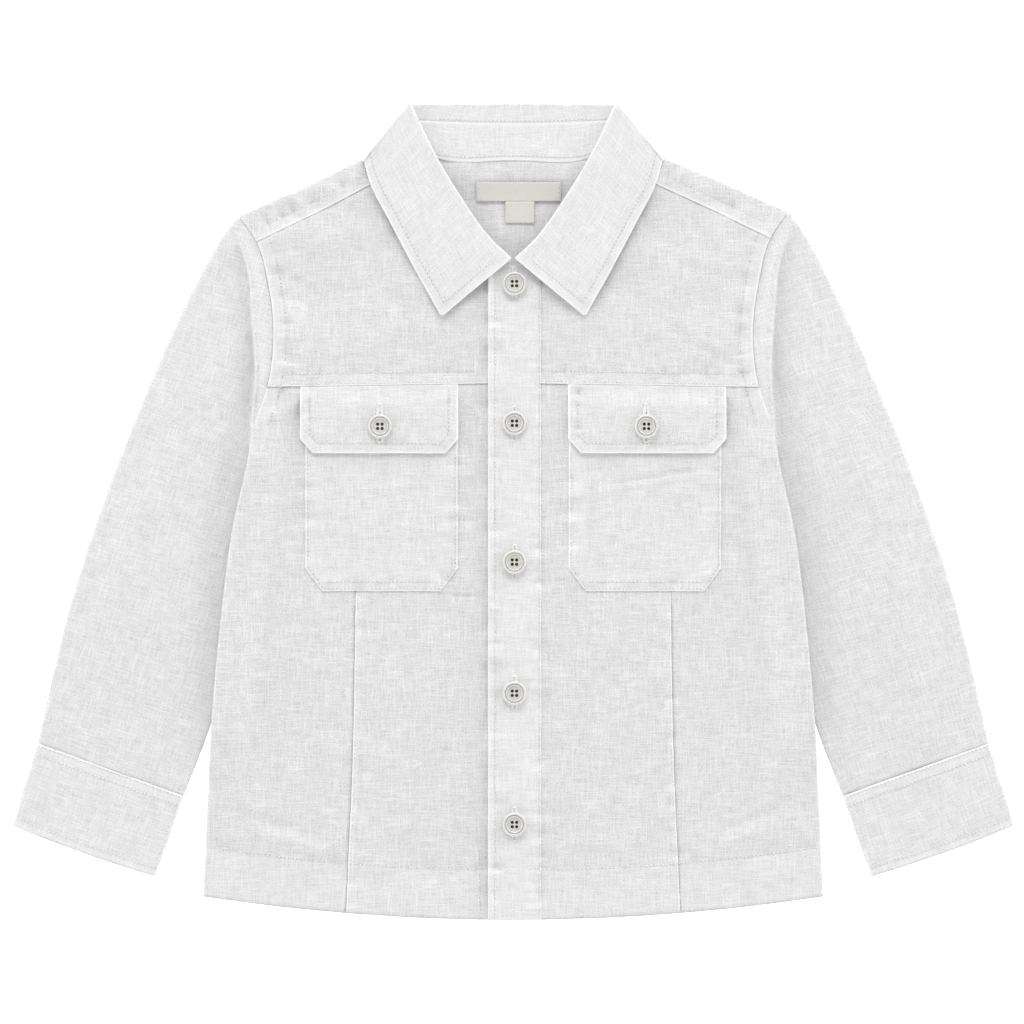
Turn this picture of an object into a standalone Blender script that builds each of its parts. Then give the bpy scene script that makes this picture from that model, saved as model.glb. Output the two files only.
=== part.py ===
"""Child's linen jacket, buttoned up and laid flat on its back.

Sizes are in millimetres, and MM turns them into metres. The jacket lies on the
plane z = 0 with its front up: +X is the wearer's left, +Y runs from the hem to
the collar. Tables give one side as (half width, height) and are mirrored for
the other. Each cloth piece is a surface over rows and columns, and Solidify
gives it its wall.
"""

import math

import bmesh
import bpy
import numpy as np

MM = 0.001

# Walls and the levels of their middles above the surface
CLOTH = 1.0
FACED_CLOTH = 1.2
BAND_CLOTH = 1.4
SEAM_GAP = 0.3
NECK_SEAM_GAP = 0.5
ARMHOLE_GAP = 0.4
BACK_LEVEL = CLOTH / 2
LAYER_STEP = 1.9
FRONT_LEVEL = BACK_LEVEL + LAYER_STEP
ON_FRONT = CLOTH / 2 + SEAM_GAP

# Body
BODY_LENGTH_BELOW = 194.2
HEM_HALF = 147.4
HEM_RISE = 11.8
BACK_SHORTER = 1.0
BACK_CLEAR = 0.4
SHOULDER_TIP = (130.7, 139.5)
SHOULDER_NECK = (52.9, 174.5)
SEAM_NECK_END = (53.5, 162.5)
SEAM_SLEEVE_END = (122.4, 129.0)
YOKE_SEAM_CENTRE = 60.9
YOKE_SEAM_ARMHOLE = 59.0
RIGHT_FRONT_EDGE = 5.0
LEFT_FRONT_EDGE = 6.0
EDGE_BEND = 1.0
UNDERARM_BEND = 0.7
UNDERARM_BLEND = 12.0

ARMHOLE_POINTS = (
    # half width, height
    (122.3, 128.8),
    (117.2, 110.0),
    (114.2, 85.7),
    (116.9, 59.0),
)
SIDE_POINTS = (
    # half width, height
    (123.8, 41.4),
    (126.1, 25.2),
    (133.0, -6.2),
    (139.5, -56.6),
    (143.1, -101.4),
    (147.4, -181.8),
)
FRONT_SEAM_POINTS = (
    # half width, height
    (74.6, 60.0),
    (75.2, -38.6),
    (76.5, -113.8),
    (79.7, -190.4),
)

# Where the body lies over the sleeve its edge is raised by these amounts
EDGE_RISE = (
    # height, rise of the front, rise of the back
    (-131.0, 0.0, 0.0),
    (-104.0, 3.3, 3.3),
    (27.0, 3.3, 3.3),
    (41.4, 2.2, 0.0),
    (64.0, 2.0, 0.0),
    (112.0, 0.0, 0.0),
)
RISE_NEAR = 7.0
RISE_FAR = 22.0

# Low soft folds of the cloth, clear of the pockets and the placket
FOLDS = (
    # x, y, direction in degrees, half length, half width, height
    (-112.0, -62.0, 62.0, 42.0, 11.0, 0.7),
    (108.0, -78.0, 112.0, 46.0, 12.0, 0.7),
    (-46.0, -118.0, 80.0, 44.0, 12.0, 0.5),
    (50.0, -104.0, 96.0, 40.0, 12.0, 0.5),
    (-168.0, 12.0, 58.0, 40.0, 11.0, 0.8),
    (-190.0, -52.0, 74.0, 34.0, 10.0, 0.7),
    (166.0, 20.0, 124.0, 44.0, 11.0, 0.8),
    (188.0, -60.0, 108.0, 36.0, 10.0, 0.7),
)

# Sleeve and cuff
SLEEVE_OUTER_POINTS = (
    # half width, height
    (136.1, 133.8),
    (154.2, 100.4),
    (175.4, 52.8),
    (194.0, 5.2),
    (209.4, -42.4),
    (225.4, -110.4),
)
SLEEVE_INNER_POINTS = (
    # half width, height
    (126.0, 38.2),
    (127.2, 28.0),
    (124.6, 14.0),
    (126.0, -6.0),
    (130.5, -40.0),
    (137.0, -75.0),
    (143.1, -101.4),
    (157.3, -135.4),
)
CREASE_POINTS = (
    # half width, height
    (133.0, 137.4),
    (126.8, 122.0),
    (122.8, 90.0),
    (122.8, 66.0),
    (125.2, 40.2),
)
CREASE_FOOT = 3.0
SLEEVE_TIP_CLEAR = (1.0, 0.2)
SLEEVE_UNDERARM_CLEAR = (0.6, 0.3)
CUFF_TOP_OUTER = (225.4, -110.4)
CUFF_TOP_INNER = (157.3, -135.4)
CUFF_END_OUTER = (237.0, -148.8)
CUFF_END_INNER = (170.9, -172.8)
CUFF_END_BOW = 1.2
CREASE_LEAST = 0.5
CREASE_END = 24.0
CREASE_FADE = 14.0
SLEEVE_LOFT = 1.6
LOFT_START = 7.2
LOFT_RUN = 12.0
LOFT_HALF = 34.0
LOFT_HEIGHT = 10.0
LOFT_LENGTH = 50.0
EDGE_ROUND = 2.2
EDGE_FOLD = (
    # share of EDGE_ROUND in from the edge, share of the full height
    (0.0, 0.0),
    (0.16, 0.54),
    (0.46, 0.84),
    (1.0, 1.0),
)
UNDERARM_FOLD = (
    # share of EDGE_ROUND in from the underarm edge, share of the full height
    (0.16, 0.54),
    (0.62, 0.93),
)

# Collar
COLLAR_CORE = 3.3
FALL_OFFSET = 2.7
STAND_OFFSET = 0.9
ROLL_RADIUS = (FALL_OFFSET - STAND_OFFSET) / 2
ROLL_BACK = 192.7
FALL_BACK_EDGE = 162.0
FALL_DROP_POINT = 2.0
FALL_DROP_SIDE = 0.3
STAND_SEAM_BACK = 7.6
STAND_SEAM_SIDE = 5.0
STAND_SEAM_FRONT = 1.2
STAND_CLEAR = 1.0
NECK_RISE = 1.7
NECK_RISE_RUN = 14.0
NECK_RISE_HALF = 72.0
NECK_RISE_SIDE = 15.0
ROLL_POINTS = (
    # half width, height
    (1.7, 118.6),
    (13.8, 129.0),
    (25.4, 147.5),
    (36.8, 166.1),
    (46.7, 191.2),
)
FALL_EDGE_POINTS = (
    # half width, height
    (34.0, 92.6),
    (46.6, 115.7),
    (56.6, 136.6),
    (66.4, 157.6),
    (67.4, 168.2),
)
FRONT_NECK_POINTS = (
    # half width, height
    (0.0, 116.6),
    (13.2, 121.8),
    (25.4, 129.0),
    (38.0, 138.6),
    (48.0, 150.6),
    SEAM_NECK_END,
)
BACK_NECK_CENTRE = 167.3
BACK_NECK_POINT = (36.0, 168.2)

# Placket, pockets, flaps and label
PLACKET_WIDTH = 25.2
PLACKET_X = 0.6
POCKET_X = 62.7
POCKET_WIDTH = 72.5
POCKET_TOP = 52.0
POCKET_BOTTOM = -38.1
POCKET_CORNER = (8.1, 10.9)
FLAP_X = 63.8
FLAP_WIDTH = 75.3
FLAP_DEPTH = 32.4
FLAP_CORNER = (6.2, 6.9)
FLAP_RAMP = 6.0
LABEL_SIZE = (40.4, 9.0)
LABEL_PLACE = (2.6, 152.1)
TAB_SIZE = (13.9, 10.4)
TAB_X = 3.2
LABEL_CLEAR = 0.7

# Buttons
BUTTON_SEGMENTS = 20
BUTTON_HOLE_PLACE = 1.05
BUTTON_HOLE_RADIUS = 0.68
BUTTON_HOLE_SIDES = 6
BUTTON_DRILL_LENGTH = 8.0
BUTTON_PROFILE = (
    # radius, height
    (4.7, 0.0),
    (5.7, 0.9),
    (5.6, 1.8),
    (5.0, 2.4),
    (4.4, 2.3),
    (3.9, 1.9),
    (3.3, 1.9),
)
PLACKET_BUTTONS = (
    # height
    108.1,
    41.7,
    -24.3,
    -86.6,
    -149.0,
)
FLAP_BUTTON = (63.3, 40.2)

# Rows and columns of the pieces' grids, as shares of each edge
SIDE_ROWS = np.array([0.0, 0.12, 0.3, 0.36, 0.46, 0.6, 0.75, 0.88, 0.94, 1.0])
SHOULDER_COLUMNS = np.array([0.42, 0.6, 0.75, 0.85, 0.9, 0.952, 1.0])
NECK_COLUMNS = np.array([0.0, 0.25, 0.5, 0.75])
YOKE_SHOULDER_COLUMNS = np.array([0.0, 0.3, 0.55, 0.72, 0.82, 0.91, 1.0])
SIDE_FRONT_COLUMNS = np.array([0.0, 0.3, 0.55, 0.66, 0.77, 0.88, 1.0])
YOKE_NECK_COUNT = 7
CENTRE_FRONT_ROWS = 9
CENTRE_FRONT_COLUMNS = 7
UNDERARM_ROWS = np.array([0.0, 0.06, 0.13, 0.24, 0.38, 0.54, 0.7, 0.85, 1.0])
SLEEVE_COLUMNS = (0.2, 0.4, 0.6, 0.8)
SLEEVE_EDGE_MOST = np.array([0.4, 0.28, 0.18, 0.1])
CREASE_MOST = 0.3
CREASE_FOOT_MOST = 0.5
CUFF_COLUMNS = np.array([0.0, 0.12, 0.31, 0.5, 0.69, 0.88, 1.0])
CUFF_ROWS = (0.0, 0.3, 0.7, 1.0)
COLLAR_BACK_STATIONS = (1.0, 0.75, 0.5, 0.25, 0.0)
COLLAR_TURN = (144.0, 108.0, 72.0, 36.0)
FALL_FRONT_STATIONS = (1.0, 0.86, 0.7, 0.55, 0.4, 0.26, 0.12, 0.0)
STAND_FRONT_STATIONS = (1.0, 0.84, 0.68, 0.52, 0.36, 0.2)
FALL_ROWS = (1.0, 0.66, 0.33, 0.06)
STAND_ROWS = (0.0, 0.5, 1.0)
PLACKET_ROWS = 15
PLACKET_COLUMNS = np.array([-0.5, -0.25, 0.0, 0.25, 0.5])
POCKET_ROWS = 7
FLAP_ROWS = 9
LABEL_ROWS = 4
LABEL_COLUMNS = 5
HALF_TURN = np.radians([0.0, 45.0, 90.0, 135.0, 180.0])
QUARTER_TURN = np.radians([30.0, 60.0, 90.0])
SHARP_ANGLE = math.radians(40.0)


class Curve:
    """Smooth line through a few points, read by the share of its length."""

    STEPS = 24

    def __init__(self, *knots):
        knots = np.array(knots, dtype=float)
        spans = np.linalg.norm(np.diff(knots, axis=0), axis=1)
        place = np.concatenate(([0.0], np.cumsum(spans)))
        slopes = np.gradient(knots, place, axis=0)
        fine = np.linspace(0.0, place[-1], self.STEPS * len(spans) + 1)
        index = np.clip(np.searchsorted(place, fine, side="right") - 1, 0, len(spans) - 1)
        span = spans[index][:, None]
        t = ((fine - place[index]) / spans[index])[:, None]
        start = (1 + 2 * t) * (1 - t) ** 2 * knots[index]
        end = t * t * (3 - 2 * t) * knots[index + 1]
        leave = t * (1 - t) ** 2 * span * slopes[index]
        arrive = t * t * (t - 1) * span * slopes[index + 1]
        self.points = start + end + leave + arrive
        lengths = np.linalg.norm(np.diff(self.points, axis=0), axis=1)
        self.shares = np.concatenate(([0.0], np.cumsum(lengths)))
        self.shares /= self.shares[-1]

    def at(self, shares):
        """Points at the given shares of the length."""
        columns = [np.interp(shares, self.shares, column) for column in self.points.T]
        return np.stack(columns, axis=-1)

    def share_at_height(self, height):
        """Share at which a line that rises or falls all the way has this height."""
        heights = self.points[:, 1]
        if heights[0] > heights[-1]:
            return float(np.interp(-height, -heights, self.shares))
        return float(np.interp(height, heights, self.shares))


def smooth(value):
    """S-shaped ramp from 0 to 1."""
    value = np.clip(value, 0.0, 1.0)
    return value * value * (3 - 2 * value)


def unit(vectors):
    """Vectors scaled to length 1."""
    return vectors / np.linalg.norm(vectors, axis=-1, keepdims=True)


def mirrored(points, side):
    """Plan or space points on the given side: +1 is the wearer's left."""
    return points * np.array([side] + [1.0] * (points.shape[-1] - 1))


SHOULDER_OUT = unit(np.array([SHOULDER_NECK[1] - SHOULDER_TIP[1], SHOULDER_TIP[0] - SHOULDER_NECK[0]]))
SHOULDER_FOLD = LAYER_STEP / 2
SHOULDER_INSET = (SHOULDER_FOLD + CLOTH / 2) * SHOULDER_OUT
TIP = np.array(SHOULDER_TIP) - SHOULDER_INSET
NECK_SIDE = np.array(SHOULDER_NECK) - SHOULDER_INSET
UNDERARM = np.array(SIDE_POINTS[0]) - (CLOTH / 2 + UNDERARM_BEND, 0.0)
ARMHOLE = Curve(TIP, *ARMHOLE_POINTS, UNDERARM)
SIDE = Curve(*SIDE_POINTS)
FRONT_SEAM = Curve(*FRONT_SEAM_POINTS)

# Stations of the armhole seam that every piece along it shares, from the tip to the underarm
SEAM_SHARE = ARMHOLE.share_at_height(SEAM_SLEEVE_END[1])
YOKE_SHARE = ARMHOLE.share_at_height(YOKE_SEAM_ARMHOLE)
ARMHOLE_STATIONS = np.concatenate([
    [0.0, SEAM_SHARE / 2],
    np.linspace(SEAM_SHARE, YOKE_SHARE, 7),
    [(YOKE_SHARE + 1) / 2, 1.0],
])


def body_half(y):
    """Half width of the body at a height, along the armhole and then the side."""
    line = np.concatenate([ARMHOLE.points[:-1], SIDE.points])[::-1]
    return np.interp(y, line[:, 1], line[:, 0])


def hem_height(x):
    """Height of the hem line: lowest at the centre, rising to the sides."""
    return -BODY_LENGTH_BELOW + HEM_RISE * (x / HEM_HALF) ** 2


def yoke_height(x):
    """Height of the chest seam, dropping a little from the centre to the armhole."""
    share = np.abs(x) / ARMHOLE_POINTS[-1][0]
    return YOKE_SEAM_CENTRE + (YOKE_SEAM_ARMHOLE - YOKE_SEAM_CENTRE) * share


def edge_rise(x, y, column):
    """Rise near the body's edge, full within RISE_NEAR and none past RISE_FAR."""
    table = np.array(EDGE_RISE)
    inside = body_half(y) - np.abs(x)
    near = smooth((RISE_FAR - inside) / (RISE_FAR - RISE_NEAR))
    return np.interp(y, table[:, 0], table[:, column]) * near


def neck_rise(x, y):
    """Rise of the back and the fronts where the collar lies under the neck."""
    along = smooth((y - FALL_BACK_EDGE + NECK_RISE_RUN) / NECK_RISE_RUN)
    across = smooth((NECK_RISE_HALF + NECK_RISE_SIDE - np.abs(x)) / NECK_RISE_SIDE)
    return NECK_RISE * along * across


def folds(x, y):
    """Sum of the low folds: each a soft ridge that fades along its length."""
    total = np.zeros_like(x)
    for fold_x, fold_y, direction, half_length, half_width, height in FOLDS:
        angle = math.radians(direction)
        along = (x - fold_x) * math.cos(angle) + (y - fold_y) * math.sin(angle)
        across = (y - fold_y) * math.cos(angle) - (x - fold_x) * math.sin(angle)
        total += height * np.exp(-(along / half_length) ** 2 - (across / half_width) ** 2)
    return total


def front_level(x, y):
    """Height of the middle of the front's wall."""
    return FRONT_LEVEL + edge_rise(x, y, 1) + neck_rise(x, y) + folds(x, y)


def back_level(x, y):
    """Height of the middle of the back's wall."""
    return BACK_LEVEL + edge_rise(x, y, 2) + neck_rise(x, y)


def raised(plan, level, offset=0.0):
    """Plan points lifted to a level, moved out by an offset."""
    x = plan[..., 0]
    y = plan[..., 1]
    return np.stack([x, y, level(x, y) + offset], axis=-1)


def patch(bottom, top, left, right):
    """Coons patch: a grid of plan points between four edges, rows from bottom to top."""
    def shares(first, second):
        steps = sum(np.linalg.norm(np.diff(edge, axis=0), axis=1) for edge in (first, second))
        return np.concatenate(([0.0], np.cumsum(steps) / steps.sum()))

    u = shares(bottom, top)[None, :, None]
    v = shares(left, right)[:, None, None]
    ruled_up = (1 - v) * bottom[None] + v * top[None]
    ruled_across = (1 - u) * left[:, None] + u * right[:, None]
    corners_low = (1 - u) * bottom[0] + u * bottom[-1]
    corners_high = (1 - u) * top[0] + u * top[-1]
    return ruled_up + ruled_across - (1 - v) * corners_low - v * corners_high


def plain_material(name, colour, roughness):
    """Principled material with a plain colour."""
    material = bpy.data.materials.new(name)
    material.use_nodes = True
    shader = material.node_tree.nodes["Principled BSDF"]
    shader.inputs["Base Color"].default_value = (*colour, 1.0)
    shader.inputs["Roughness"].default_value = roughness
    shader.inputs["Metallic"].default_value = 0.0
    return material


def add_object(name, mesh, material):
    """Object of a mesh, with its own material and smooth shading."""
    mesh.materials.append(material)
    mesh.shade_smooth()
    mesh.set_sharp_from_angle(angle=SHARP_ANGLE)
    item = bpy.data.objects.new(name, mesh)
    bpy.context.scene.collection.objects.link(item)
    return item


def sheet(name, grids, wall, material):
    """Closed cloth wall over one or more grids of space points that share edges."""
    form = bmesh.new()
    for grid in grids:
        rows, columns = grid.shape[:2]
        points = [[form.verts.new(point * MM) for point in row] for row in grid]
        for row in range(rows - 1):
            for column in range(columns - 1):
                form.faces.new((
                    points[row][column],
                    points[row][column + 1],
                    points[row + 1][column + 1],
                    points[row + 1][column],
                ))
    bmesh.ops.remove_doubles(form, verts=form.verts, dist=1e-6)
    bmesh.ops.recalc_face_normals(form, faces=form.faces)
    mesh = bpy.data.meshes.new(name)
    form.to_mesh(mesh)
    form.free()
    item = add_object(name, mesh, material)
    solidify = item.modifiers.new("wall", "SOLIDIFY")
    solidify.thickness = wall * MM
    solidify.offset = 0.0
    solidify.use_even_offset = True
    solidify.use_quality_normals = True
    return item


def side_inset(points, inset_low, inset_high):
    """Side line moved in, by inset_high at the underarm and inset_low from a blend below it."""
    share = smooth((SIDE_POINTS[0][1] - points[:, 1]) / UNDERARM_BLEND)
    moved = points.copy()
    moved[:, 0] -= inset_high + (inset_low - inset_high) * share
    return moved


def make_back(linen):
    """Back panel, with a flap over each shoulder down to the forward shoulder seam."""
    side = SIDE.at(1 - SIDE_ROWS)
    side = side_inset(side, CLOTH + BACK_CLEAR, CLOTH / 2 + UNDERARM_BEND)
    side[0, 1] += BACK_SHORTER
    armhole = ARMHOLE.at(ARMHOLE_STATIONS[-2::-1])
    right = np.concatenate([side, armhole])

    neck_share = SHOULDER_COLUMNS[0]
    half_shares = np.concatenate([neck_share * NECK_COLUMNS, SHOULDER_COLUMNS])
    shoulder_run = (SHOULDER_COLUMNS - neck_share) / (1 - neck_share)
    shoulder = NECK_SIDE + shoulder_run[:, None] * (TIP - NECK_SIDE)
    neck = Curve((0.0, BACK_NECK_CENTRE), BACK_NECK_POINT, NECK_SIDE)
    top_half = np.concatenate([neck.at(NECK_COLUMNS), shoulder])
    hem_x = half_shares * right[0, 0]
    bottom_half = np.stack([hem_x, hem_height(hem_x) + BACK_SHORTER], axis=-1)
    bottom_half[-1] = right[0]

    bottom = np.concatenate([mirrored(bottom_half[:0:-1], -1), bottom_half])
    top = np.concatenate([mirrored(top_half[:0:-1], -1), top_half])
    plan = patch(bottom, top, mirrored(right, -1), right)
    grids = [raised(plan, back_level)]

    seam = np.array(SEAM_NECK_END) + shoulder_run[:, None] * (
        np.array(SEAM_SLEEVE_END) - np.array(SEAM_NECK_END))
    seam[-1] = ARMHOLE.at(SEAM_SHARE)
    low = raised(shoulder, back_level)
    high = raised(shoulder, front_level)
    over = []
    for angle in HALF_TURN:
        row = (low + high) / 2 - math.cos(angle) * (high - low) / 2
        row[:, :2] += SHOULDER_FOLD * math.sin(angle) * SHOULDER_OUT
        over.append(row)
    for share in (0.5, 1.0):
        line = shoulder + share * (seam - shoulder)
        if share < 1.0:
            line[-1] = ARMHOLE.at(share * SEAM_SHARE)
        over.append(raised(line, front_level))
    over = np.array(over)
    grids += [mirrored(over, side) for side in (1, -1)]
    return sheet("back", grids, CLOTH, linen)


def make_yoke(name, side, front_edge, linen):
    """Upper front: neck and shoulder seam above, chest seam below, armhole outside."""
    neck = Curve(*FRONT_NECK_POINTS)
    neck_start = np.array([front_edge, FRONT_NECK_POINTS[0][1]])
    if front_edge > 0:
        neck_start[1] = np.interp(front_edge, neck.points[:, 0], neck.points[:, 1])
    start_share = float(np.interp(max(front_edge, 0.0), neck.points[:, 0], neck.shares))
    neck_line = neck.at(np.linspace(start_share, 1.0, YOKE_NECK_COUNT))
    neck_line[0] = neck_start
    seam_end = ARMHOLE.at(SEAM_SHARE)
    seam_start = np.array(SEAM_NECK_END)
    gap = SEAM_GAP * SHOULDER_OUT
    shoulder_line = seam_start + YOKE_SHOULDER_COLUMNS[:, None] * (seam_end - seam_start) - gap
    neck_line[-1] = shoulder_line[0]
    top = np.concatenate([neck_line, shoulder_line[1:]])

    right = ARMHOLE.at(ARMHOLE_STATIONS[8:1:-1])
    right[-1] = ARMHOLE.at(ARMHOLE.share_at_height(float(shoulder_line[-1, 1])))
    top[-1] = right[-1]
    run = np.linalg.norm(np.diff(top, axis=0), axis=1)
    columns = np.concatenate(([0.0], np.cumsum(run) / run.sum()))
    bottom_x = front_edge + (right[0, 0] - front_edge) * columns
    bottom = np.stack([bottom_x, yoke_height(bottom_x)], axis=-1)
    right[0] = bottom[-1]
    left_y = np.linspace(bottom[0, 1], top[0, 1], len(right))
    left = np.stack([np.full(len(right), front_edge), left_y], axis=-1)
    plan = patch(bottom, top, left, right)
    return sheet(name, [raised(mirrored(plan, side), front_level)], CLOTH, linen)


def make_centre_front(name, side, front_edge, linen):
    """Centre front: from the chest seam to the hem, between the opening and the front seam."""
    rows = CENTRE_FRONT_ROWS
    seam = FRONT_SEAM.at(np.linspace(1.0, 0.0, rows)) - (SEAM_GAP / 2, 0.0)
    columns = np.linspace(0.0, 1.0, CENTRE_FRONT_COLUMNS)
    bottom_x = front_edge + columns * (seam[0, 0] - front_edge)
    top_x = front_edge + columns * (seam[-1, 0] - front_edge)
    bottom = np.stack([bottom_x, hem_height(bottom_x)], axis=-1)
    top = np.stack([top_x, yoke_height(top_x) - SEAM_GAP], axis=-1)
    seam[0] = bottom[-1]
    seam[-1] = top[-1]
    left = np.stack([np.full(rows, front_edge), np.linspace(bottom[0, 1], top[0, 1], rows)], axis=-1)
    plan = patch(bottom, top, left, seam)
    return sheet(name, [raised(mirrored(plan, side), front_level)], CLOTH, linen)


def make_side_front(name, side, linen):
    """Side front: out to the side, where its edge bends down over the back's edge."""
    outline = SIDE.at(1 - SIDE_ROWS)
    bend = UNDERARM_BEND + (EDGE_BEND - UNDERARM_BEND) * smooth(
        (SIDE_POINTS[0][1] - outline[:, 1]) / UNDERARM_BLEND)
    edge = outline - np.stack([bend + CLOTH / 2, np.zeros(len(bend))], axis=-1)
    armhole = ARMHOLE.at(ARMHOLE_STATIONS[-2:-4:-1])
    right = np.concatenate([edge, armhole])
    rows = len(right)
    seam = FRONT_SEAM.at(np.linspace(1.0, 0.0, rows)) + (SEAM_GAP / 2, 0.0)
    bottom_x = seam[0, 0] + SIDE_FRONT_COLUMNS * (right[0, 0] - seam[0, 0])
    top_x = seam[-1, 0] + SIDE_FRONT_COLUMNS * (right[-1, 0] - seam[-1, 0])
    bottom = np.stack([bottom_x, hem_height(bottom_x)], axis=-1)
    top = np.stack([top_x, yoke_height(top_x) - SEAM_GAP], axis=-1)
    seam[0] = bottom[0]
    seam[-1] = top[0]
    right[0] = bottom[-1]
    right[-1] = top[-1]
    plan = mirrored(patch(bottom, top, seam, right), side)
    panel = raised(plan, front_level)

    turned = panel[:len(outline), -1]
    lip = [turned]
    for angle in QUARTER_TURN:
        column = turned.copy()
        column[:, 0] += side * bend * math.sin(angle)
        column[:, 2] -= bend * (1 - math.cos(angle))
        lip.append(column)
    last = lip[-1].copy()
    last[:, 2] = back_level(turned[:, 0], turned[:, 1]) - CLOTH / 2
    lip.append(last)
    return sheet(name, [panel, np.stack(lip, axis=1)], CLOTH, linen)


def flat_tube(plan, top, bottom, wall):
    """Ring grid of a flattened tube: over the top from one edge to the other, and back below.

    Two columns are set in beside each edge, so that the fold there is round. Each
    edge lies half a wall inside the plan's outline.
    """
    def set_in(edge, inner):
        way = unit(inner - edge)
        return [edge + way * (wall / 2 + reach * EDGE_ROUND) for reach, _ in EDGE_FOLD]

    first = set_in(plan[:, 0], plan[:, 1])
    last = set_in(plan[:, -1], plan[:, -2])
    fold = [height for _, height in EDGE_FOLD]
    middle = [plan[:, column] for column in range(1, plan.shape[1] - 1)]
    columns = first + middle + last[::-1]
    openness = fold + [1.0] * len(middle) + fold[::-1]
    over = []
    under = []
    for column, share in zip(columns, openness):
        high = top(column)
        low = bottom(column)
        centre = (high + low) / 2
        over.append(np.column_stack([column, centre + share * (high - low) / 2]))
        under.append(np.column_stack([column, centre - share * (high - low) / 2]))
    ring = over + under[-2:0:-1] + over[:1]
    return np.stack(ring, axis=1)


def sleeve_top(plan, side):
    """Top of the sleeve: level with the front at the armhole, stepping down past the crease."""
    x = plan[..., 0]
    y = plan[..., 1]
    table = np.array(EDGE_RISE)
    step = np.interp(y, table[:, 0], table[:, 1])
    step *= 1 - smooth((x - crease_half(y)) / CREASE_FOOT)
    step *= smooth((y - CREASE_END) / CREASE_FADE)
    outside = x - body_half(y)
    loft = SLEEVE_LOFT * smooth((outside - LOFT_START) / LOFT_RUN) * smooth(2 - outside / LOFT_HALF)
    loft *= smooth(2 - np.abs(y - LOFT_HEIGHT) / LOFT_LENGTH)
    return FRONT_LEVEL + step + loft + folds(side * x, y)


def crease_half(y):
    """Half width at which the sleeve's crease runs, at a height."""
    line = Curve(*CREASE_POINTS).points[::-1]
    return np.interp(y, line[:, 1], line[:, 0])


def sleeve_rows():
    """Matching points of the rows across the sleeve, on its inner and on its outer side.

    The inner side is the armhole and then the underarm edge. Each row's outer point
    lies as far along the sleeve as its inner one.
    """
    armhole = ARMHOLE.at(ARMHOLE_STATIONS) + (ARMHOLE_GAP, 0.0)
    armhole[-1] = np.array(SIDE_POINTS[0]) + SLEEVE_UNDERARM_CLEAR
    underarm = Curve(*SLEEVE_INNER_POINTS).at(UNDERARM_ROWS)
    inner = np.concatenate([armhole, underarm])
    outer_line = Curve(np.array(SHOULDER_TIP) + SLEEVE_TIP_CLEAR, *SLEEVE_OUTER_POINTS).points
    axis = unit(np.array(CUFF_TOP_OUTER) + CUFF_TOP_INNER - SHOULDER_TIP - UNDERARM)

    def progress(line):
        reach = line @ axis
        return (reach - reach[0]) / (reach[-1] - reach[0])

    columns = [np.interp(progress(inner), progress(outer_line), column) for column in outer_line.T]
    return inner, np.stack(columns, axis=-1), len(armhole)


def make_sleeve(name, side, linen):
    """Sleeve: one piece folded along its outer edge and closed along the underarm edge."""
    inner, outer, open_rows = sleeve_rows()
    width = np.linalg.norm(outer - inner, axis=1)
    is_open = np.arange(len(inner)) < open_rows
    half_wall = CLOTH / 2

    (first_reach, first_height), (second_reach, second_height) = UNDERARM_FOLD
    crease_reach = crease_half(inner[:, 1]) - inner[:, 0]
    crease = np.where(is_open, crease_reach, EDGE_ROUND * first_reach + half_wall)
    crease = np.clip(crease, CREASE_LEAST, CREASE_MOST * width)
    foot = np.where(is_open, crease + CREASE_FOOT, EDGE_ROUND * second_reach + half_wall)
    foot = np.minimum(foot, CREASE_FOOT_MOST * width)
    start = np.where(is_open, 0.0, half_wall)
    edge = np.array([half_wall + EDGE_ROUND * share for share, _ in EDGE_FOLD[::-1]])
    edge = np.minimum(edge[:, None], SLEEVE_EDGE_MOST[:, None] * width)
    middle = [foot + share * (width - edge[0] - foot) for share in SLEEVE_COLUMNS]
    reach = [start, crease, foot, *middle, *(width - edge)]

    openness = [np.where(is_open, 1.0, height) for height in (0.0, first_height, second_height)]
    openness += [np.ones(len(inner))] * len(middle)
    openness += [np.full(len(inner), height) for _, height in EDGE_FOLD[::-1]]

    way = unit(outer - inner)
    over = []
    under = []
    for distance, share in zip(reach, openness):
        plan = inner + distance[:, None] * way
        top = sleeve_top(plan, side)
        centre = (top + BACK_LEVEL) / 2
        over.append(np.column_stack([plan, centre + share * (top - BACK_LEVEL) / 2]))
        under.append(np.column_stack([plan, centre - share * (top - BACK_LEVEL) / 2]))
    grid = np.stack(over + under[-2::-1], axis=1)
    return sheet(name, [mirrored(grid, side)], CLOTH, linen)


def make_cuff(name, side, linen):
    """Cuff: a flattened band below the sleeve, bowed a little along its end."""
    across = CUFF_COLUMNS
    down = unit(np.array(CUFF_END_OUTER) - np.array(CUFF_TOP_OUTER))
    top_start = np.array(CUFF_TOP_OUTER) + SEAM_GAP * down
    top_end = np.array(CUFF_TOP_INNER) + SEAM_GAP * down
    rows = []
    for share in CUFF_ROWS:
        start = top_start + share * (np.array(CUFF_END_OUTER) - top_start)
        end = top_end + share * (np.array(CUFF_END_INNER) - top_end)
        bow = share * CUFF_END_BOW * 4 * across * (1 - across)
        rows.append(start + across[:, None] * (end - start) + bow[:, None] * down)
    plan = np.array(rows)

    def high(points):
        return np.full(len(points), FRONT_LEVEL + BAND_CLOTH - CLOTH)

    def low(points):
        return np.full(len(points), BAND_CLOTH / 2)

    ring = flat_tube(plan, high, low, BAND_CLOTH)
    return sheet(name, [mirrored(ring, side)], BAND_CLOTH, linen)


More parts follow.
